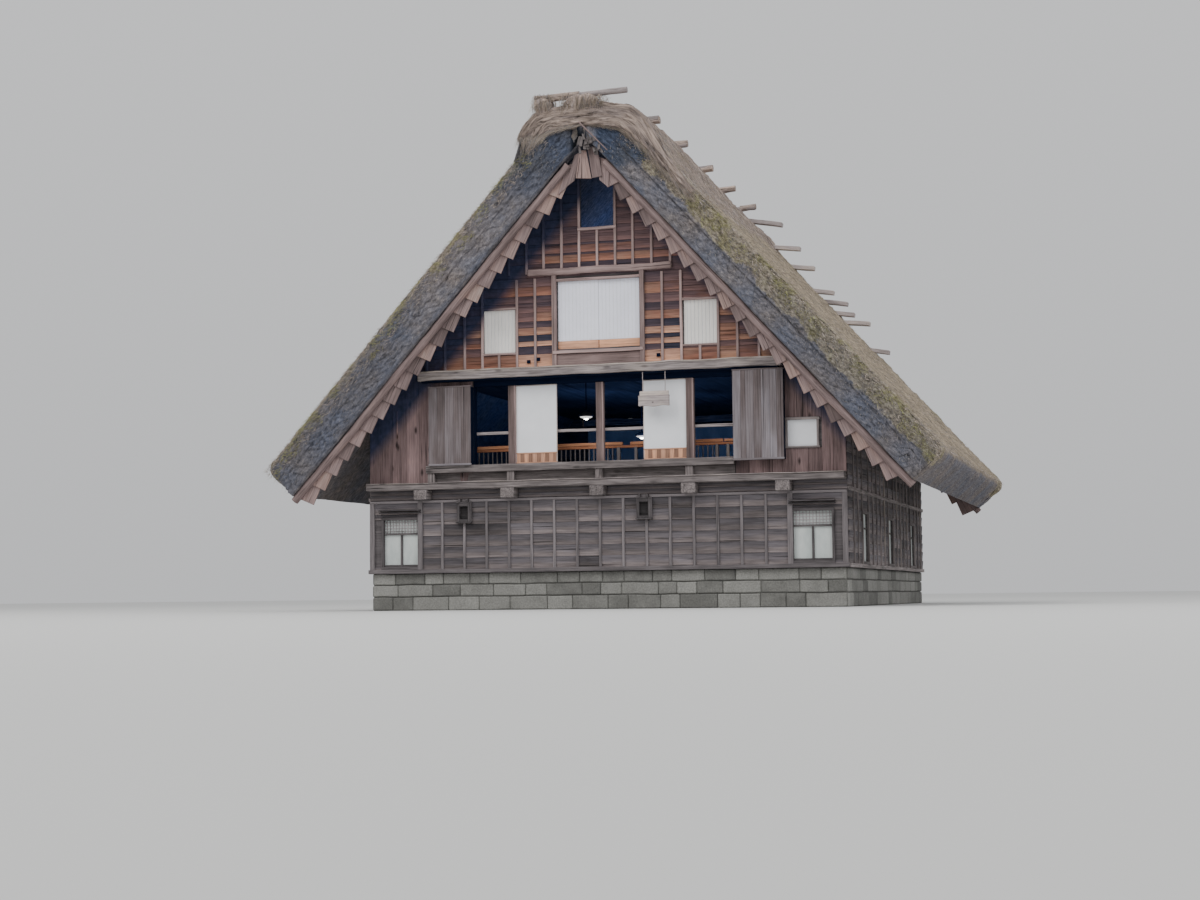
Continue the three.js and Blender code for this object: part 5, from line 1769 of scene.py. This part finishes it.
def step_planks():
    """Planks driven into the right slope near the far gable"""
    draw = seeded(170)
    boards = []
    for x, z in ((2.10, 9.722), (2.48, 9.161), (3.00, 8.457), (3.37, 8.135), (3.55, 7.825), (3.96, 7.558),
                 (4.47, 6.759), (1.61, 10.42)):
        turn = Matrix.Rotation(math.radians(8 + draw.normal(0, 1.2)), 3, "Y")
        middle = Vector((x, 6.45, z - 0.045)) - turn @ Vector((0.575, 0, 0))
        boards.append(Board(middle, (1.15, 0.23, 0.112), turn, float(draw.uniform(0.5, 0.7))))
    build("step_boards", boards, "roof_wood", "pale_grey", cuts=8, ease=0.010, wander=0.008, seed=171)


# Loose straw


def down_and_out(side):
    """Directions down a slope and away from it"""
    return np.array([side * RUN, 0, -FALL]), np.array([side * FALL, 0, RUN])


def loose_stalks(gable, side_name, count):
    """Short stalks on the cut face, along its outer edge and on the roof just behind it"""
    side = SIDES[side_name]
    draw = seeded(181 + side)
    s = draw.uniform(0.55, EAVE_X / RUN, count)
    kind = draw.choice(3, count, p=[0.30, 0.42, 0.28])
    edge_t = THATCH - 0.38 * draw.uniform(0, 1, count) ** 1.5
    t = np.where(kind == 0, draw.uniform(0.08, THATCH - 0.1, count), edge_t)
    turned_edge = 0.17
    rounding = np.maximum(0, t - (THATCH - turned_edge))
    sunk = turned_edge - np.sqrt(np.maximum(0, turned_edge ** 2 - rounding ** 2))
    back = np.where(kind == 2, draw.uniform(0.1, 1.0, count) ** 1.4 * 1.3, sunk)
    t = np.where(kind == 2, THATCH - 0.01, t)
    roots = slope_point(side, s, t, FACING[gable] * (ROOF_Y - back))
    down, out = down_and_out(side)
    ahead = np.array([0, FACING[gable], 0])
    ways = np.array([
        ahead * 0.45 + down * 0.8,
        ahead * 0.40 + out * 0.35 + down * 0.75,
        out * 0.50 + down * 0.85,
    ])
    directions = ways[kind] + draw.normal(0, 0.45, (count, 3))
    lengths = np.where(kind == 0, draw.uniform(0.03, 0.08, count), draw.uniform(0.05, 0.14, count))
    widths = draw.uniform(0.0045, 0.0085, count)
    face_tones = draw.choice([0.05, 0.25, 0.3, 0.4], count)
    green = swell(np.stack([s, t, s * 0], 1), (0.9, 0.5, 1), 187) > 0.25
    mossy, dry = draw.choice([0.5, 0.85, 0.92, 1.0], count), draw.choice([0.2, 0.4, 0.5, 0.6, 0.7], count)
    tones = np.where(kind == 0, face_tones, np.where(green, mossy, dry))
    strew(gable + "_" + side_name + "_stalks", roots, directions, lengths, widths, tones, 0.3, 183)


def slope_stalks(side_name, count):
    """Short stalks that roughen the whole outside of a slope"""
    side = SIDES[side_name]
    draw = seeded(201 + side)
    s = draw.uniform(1.0, EAVE_X / RUN, count)
    y = draw.uniform(-ROOF_Y + 0.4, ROOF_Y - 0.4, count)
    down, out = down_and_out(side)
    directions = out * 0.38 + down * 0.95 + draw.normal(0, 0.22, (count, 3))
    tones = draw.choice([0.3, 0.45, 0.5, 0.6, 0.7], count)
    lengths, widths = draw.uniform(0.06, 0.17, count), draw.uniform(0.005, 0.009, count)
    roots = slope_point(side, s, THATCH - 0.012, y)
    strew(side_name + "_slope_stalks", roots, directions, lengths, widths, tones, 0.25, 203)


def ridge_stalks():
    """Long stalks that hang from the saddle's ends and feet, and the tangle round each log"""
    draw = seeded(191)
    outer, inner, _ = saddle_curves(200)
    stalks = []

    def add(root, direction, shortest, longest):
        length = draw.uniform(shortest, longest)
        stalks.append((root, direction, length, draw.choice((0.3, 0.5, 0.6, 0.7, 0.75))))

    for facing in (-1, 1):
        for _ in range(5200):
            i = int(draw.integers(20, 196))
            mix = draw.uniform(0, 1) if draw.uniform() < 0.6 else draw.uniform(0, 0.12)
            x, z = outer[i] * mix + inner[i] * (1 - mix)
            tangent = outer[min(i + 3, 199)] - outer[i - 3]
            tangent = tangent / np.linalg.norm(tangent) * (1 if x > 0.0 else -1)
            lean = tangent[0] + draw.normal(0, 0.10)
            direction = (lean, facing * draw.uniform(0.0, 0.22), tangent[1] + draw.normal(0, 0.10))
            add((x, facing * (ROOF_Y + 0.03), z), direction, 0.12, 0.36)
    for _ in range(6000):
        left = draw.uniform() < 0.30
        x, z = outer[int(draw.integers(14, 34)) if left else int(draw.integers(135, 198))]
        way = (-0.35, 0.0, -1.0) if left else (0.67, 0.0, -0.75)
        direction = np.array(way) + draw.normal(0, 0.14, 3)
        add((x, draw.uniform(-ROOF_Y, ROOF_Y), z + 0.01), direction, 0.08, 0.26)
    for node in LOGS:
        low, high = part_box(node)
        y = (low.y + high.y) / 2
        for _ in range(1500):
            face = draw.choice([-1, 1])
            x = draw.choice([draw.uniform(-1.12, -0.68), draw.uniform(-0.52, 0.46)], p=[0.40, 0.60])
            z = draw.uniform(SADDLE_TOP, high.z - 0.03 if x < -0.05 else high.z - 0.14)
            out = 0.10 if z > high.z - 0.16 else 0.17
            direction = (draw.normal(0, 0.35), face * draw.uniform(0.0, 0.35), -1.0)
            add((x, y + face * out, z), direction, 0.08, 0.28)
        for _ in range(90):
            across = draw.choice([-1, 1]) * draw.uniform(0.5, 1.2)
            direction = (across, draw.normal(0, 0.5), draw.normal(-0.2, 0.5))
            x = draw.choice([-1.02, 0.38]) + draw.normal(0, 0.06)
            add((x, y + draw.normal(0, 0.07), draw.uniform(10.58, high.z - 0.12)), direction, 0.08, 0.22)
    roots, directions, lengths, tones = (np.array(values) for values in zip(*stalks))
    widths = draw.uniform(0.0045, 0.008, len(stalks))
    roots += rear_sag(roots[:, 0], roots[:, 1]) * (roots[:, 2:] < SADDLE_TOP)
    strew("ridge_stalks", roots, directions, lengths, widths, tones, 0.3, 193)


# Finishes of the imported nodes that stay


def dress_frame():
    """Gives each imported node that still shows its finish"""
    looks = {
        "wall_slab": ("front_third_wall", "rear_third_wall", "front_attic_wall", "rear_attic_wall",
                      "second_left_wall", "second_right_wall", "second_rear_wall", "front_ground_wall",
                      "rear_ground_wall", "left_side_wall", "right_side_wall"),
        "deck_slab": ("ground_floor", "second_floor", "third_floor", "attic_floor"),
        "mortar": ("stone_footing",),
        "frosted": ("left_side_windows", "right_side_windows", "second_rear_windows"),
    }
    for look, names in looks.items():
        for name in names:
            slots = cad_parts[name].data.materials
            if not slots:
                slots.append(finish(look))
            for i in range(len(slots)):
                slots[i] = finish(look)


# Stage


def make_floor():
    """Plain pale floor far beyond the house"""
    select_none()
    bpy.ops.mesh.primitive_plane_add(size=900, location=(0, 0, -0.002))
    floor = bpy.context.object
    floor.name = "stage_floor"
    sheet = Sheet("stage_floor", 0.95)
    floor.data.materials.append(sheet.done((0.60, 0.60, 0.59)))


def make_light(name, place, aim, size, power, colour):
    select_none()
    bpy.ops.object.light_add(type="AREA", location=place)
    light = bpy.context.object
    light.name = name
    light.data.size = size
    light.data.energy = power
    light.data.color = colour
    light.visible_camera = False
    light.rotation_euler = (Vector(aim) - Vector(place)).to_track_quat("-Z", "Y").to_euler()


def make_world():
    """Soft light from all round, a little stronger from above"""
    world = bpy.data.worlds.new("soft_room")
    bpy.context.scene.world = world
    world.use_nodes = True
    nodes, links = world.node_tree.nodes, world.node_tree.links
    background = nodes["Background"]
    kinds = ("TexCoord", "SeparateXYZ", "ValToRGB")
    coordinates, split, ramp = (nodes.new("ShaderNode" + kind) for kind in kinds)
    stops = ((0.0, (0.66, 0.665, 0.68, 1)), (0.9, (0.98, 0.99, 1.0, 1)))
    for element, (at, colour) in zip(ramp.color_ramp.elements, stops):
        element.position = at
        element.color = colour
    links.new(coordinates.outputs["Generated"], split.inputs[0])
    links.new(split.outputs[2], ramp.inputs[0])
    links.new(ramp.outputs[0], background.inputs["Color"])
    background.inputs["Strength"].default_value = 1.0


def make_camera():
    """Low and far in front, a little to the right, as the photograph was taken"""
    yaw, tip, roll = 0.287, 0.076, -0.011
    select_none()
    bpy.ops.object.camera_add()
    camera = bpy.context.object
    camera.name = "photo_camera"
    focal_pixels, image_width = 1921, 1200
    camera.data.sensor_width = 36
    camera.data.lens = 36 * focal_pixels / image_width
    camera.data.clip_end = 2000
    turn = Matrix.Identity(4)
    for angle, axis in ((yaw, "Z"), (math.pi / 2 + tip, "X"), (roll, "Z")):
        turn = turn @ Matrix.Rotation(angle, 4, axis)
    camera.matrix_world = Matrix.Translation((11.5, -45.0, 0.265)) @ turn
    bpy.context.scene.camera = camera


# Lamps of the stage: place, aim, size, power and colour; the last four are the sky's light inside
SKY_BLUE = (0.15, 0.34, 1.0)
LIGHTS = {
    "key_light": ((-20, -36, 40), (0, -4, 5), 26, 13000, (1.0, 0.985, 0.97)),
    "fill_light": ((32, -26, 30), (0, 0, 5), 26, 7000, (0.97, 0.98, 1.0)),
    "loft_light": ((0, -2.5, 7.4), (0, -2.5, 9.9), 2.0, 26, (0.32, 0.48, 1.0)),
    "room_light": ((0, 0.2, 3.75), (0, 6, 4.3), 1.5, 16, SKY_BLUE),
    "ceiling_light": ((0, -2.0, 3.15), (0, -2.0, 5.1), 4.0, 32, SKY_BLUE),
    "side_light": ((-1.0, -1.0, 3.9), (-6, 2.0, 4.2), 1.2, 18, SKY_BLUE),
}


# Operators


class FARMHOUSE_OT_stage(bpy.types.Operator):
    """Floor, soft light and the camera at the photograph's angle"""

    bl_idname = "farmhouse.stage"
    bl_label = "Stage"

    def execute(self, context):
        make_camera()
        make_floor()
        make_world()
        for name, settings in LIGHTS.items():
            make_light(name, *settings)
        return {"FINISHED"}


class FARMHOUSE_OT_footing(bpy.types.Operator):
    """Stones of the footing"""

    bl_idname = "farmhouse.footing"
    bl_label = "Footing"

    def execute(self, context):
        footing_stones()
        return {"FINISHED"}


class FARMHOUSE_OT_ground_storey(bpy.types.Operator):
    """Boards, battens, vents and windows of the ground storey, and the long walls"""

    bl_idname = "farmhouse.ground_storey"
    bl_label = "Ground storey"

    def execute(self, context):
        for gable in FACING:
            ground_boards(gable)
            ground_battens(gable)
            ground_windows(gable)
        vent_boxes()
        for side in SIDES:
            side_wall_boards(side)
        return {"FINISHED"}


class FARMHOUSE_OT_beams(bpy.types.Operator):
    """Beam ends, skirt, sill, posts, head beams and the crooked pole"""

    bl_idname = "farmhouse.beams"
    bl_label = "Beams"

    def execute(self, context):
        for gable in FACING:
            beam_ends(gable)
            skirt(gable)
            head_beam(gable)
            loft_beam(gable)
        sill_and_posts()
        return {"FINISHED"}


class FARMHOUSE_OT_second_storey(bpy.types.Operator):
    """Shutter boxes, sliding panels, railing, outer walls, hanging board, floors and lamps"""

    bl_idname = "farmhouse.second_storey"
    bl_label = "Second storey"

    def execute(self, context):
        shutter_boxes()
        sliding_panels()
        railing()
        second_outer_walls()
        second_rear_storey()
        alarm_board()
        floors()
        pendant_lamps()
        return {"FINISHED"}


class FARMHOUSE_OT_upper_gable(bpy.types.Operator):
    """Boards, battens and windows of the third storey and the attic"""

    bl_idname = "farmhouse.upper_gable"
    bl_label = "Upper gable"

    def execute(self, context):
        for gable in FACING:
            upper_boards(gable)
            upper_battens(gable)
            third_windows(gable)
        return {"FINISHED"}


class FARMHOUSE_OT_thatch(bpy.types.Operator):
    """Both slopes and their cut faces"""

    bl_idname = "farmhouse.thatch"
    bl_label = "Thatch"

    def execute(self, context):
        for side in SIDES:
            thatch_body(side)
            thatch_face(side, "front", 0.028)
            thatch_face(side, "rear", 0.05)
        return {"FINISHED"}


class FARMHOUSE_OT_ridge(bpy.types.Operator):
    """Straw saddle and the logs across it"""

    bl_idname = "farmhouse.ridge"
    bl_label = "Ridge"

    def execute(self, context):
        ridge_saddle()
        ridge_logs()
        return {"FINISHED"}


class FARMHOUSE_OT_verges(bpy.types.Operator):
    """Barge poles, verge planks and the planks that stick out of the roof"""

    bl_idname = "farmhouse.verges"
    bl_label = "Verges"

    def execute(self, context):
        for gable in FACING:
            for side in SIDES:
                verge(gable, side)
            apex_planks(gable)
        step_planks()
        return {"FINISHED"}


class FARMHOUSE_OT_stalks(bpy.types.Operator):
    """Loose straw along the verges and the ridge"""

    bl_idname = "farmhouse.stalks"
    bl_label = "Loose straw"

    def execute(self, context):
        count = sizes().stalks
        for side in SIDES:
            loose_stalks("front", side, count)
            loose_stalks("rear", side, count // 5)
            slope_stalks(side, count)
        ridge_stalks()
        return {"FINISHED"}


class FARMHOUSE_OT_finishes(bpy.types.Operator):
    """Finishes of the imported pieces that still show"""

    bl_idname = "farmhouse.finishes"
    bl_label = "Finishes"

    def execute(self, context):
        dress_frame()
        return {"FINISHED"}


class FARMHOUSE_PT_sidebar(bpy.types.Panel):
    """Lists the steps in their order, with the sizes and colours"""

    bl_label = "Farmhouse"
    bl_idname = "FARMHOUSE_PT_sidebar"
    bl_space_type = "VIEW_3D"
    bl_region_type = "UI"
    bl_category = "Farmhouse"

    def draw(self, context):
        for step_class in STEPS:
            self.layout.operator(step_class.bl_idname)
        for group in (context.scene.farmhouse_sizes, context.scene.farmhouse_colours):
            for name in group.__annotations__:
                self.layout.prop(group, name)


STEPS = (
    FARMHOUSE_OT_stage,
    FARMHOUSE_OT_footing,
    FARMHOUSE_OT_ground_storey,
    FARMHOUSE_OT_beams,
    FARMHOUSE_OT_second_storey,
    FARMHOUSE_OT_upper_gable,
    FARMHOUSE_OT_thatch,
    FARMHOUSE_OT_ridge,
    FARMHOUSE_OT_verges,
    FARMHOUSE_OT_stalks,
    FARMHOUSE_OT_finishes,
)
CLASSES = (FarmhouseSizes, FarmhouseColours, *STEPS, FARMHOUSE_PT_sidebar)


def register():
    for each in CLASSES:
        bpy.utils.register_class(each)
    bpy.types.Scene.farmhouse_sizes = bpy.props.PointerProperty(type=FarmhouseSizes)
    bpy.types.Scene.farmhouse_colours = bpy.props.PointerProperty(type=FarmhouseColours)


def unregister():
    del bpy.types.Scene.farmhouse_colours
    del bpy.types.Scene.farmhouse_sizes
    for each in reversed(CLASSES):
        bpy.utils.unregister_class(each)


def main():
    register()
    for step_class in STEPS:
        group, name = step_class.bl_idname.split(".")
        getattr(getattr(bpy.ops, group), name)()


if __name__ == "__main__":
    main()
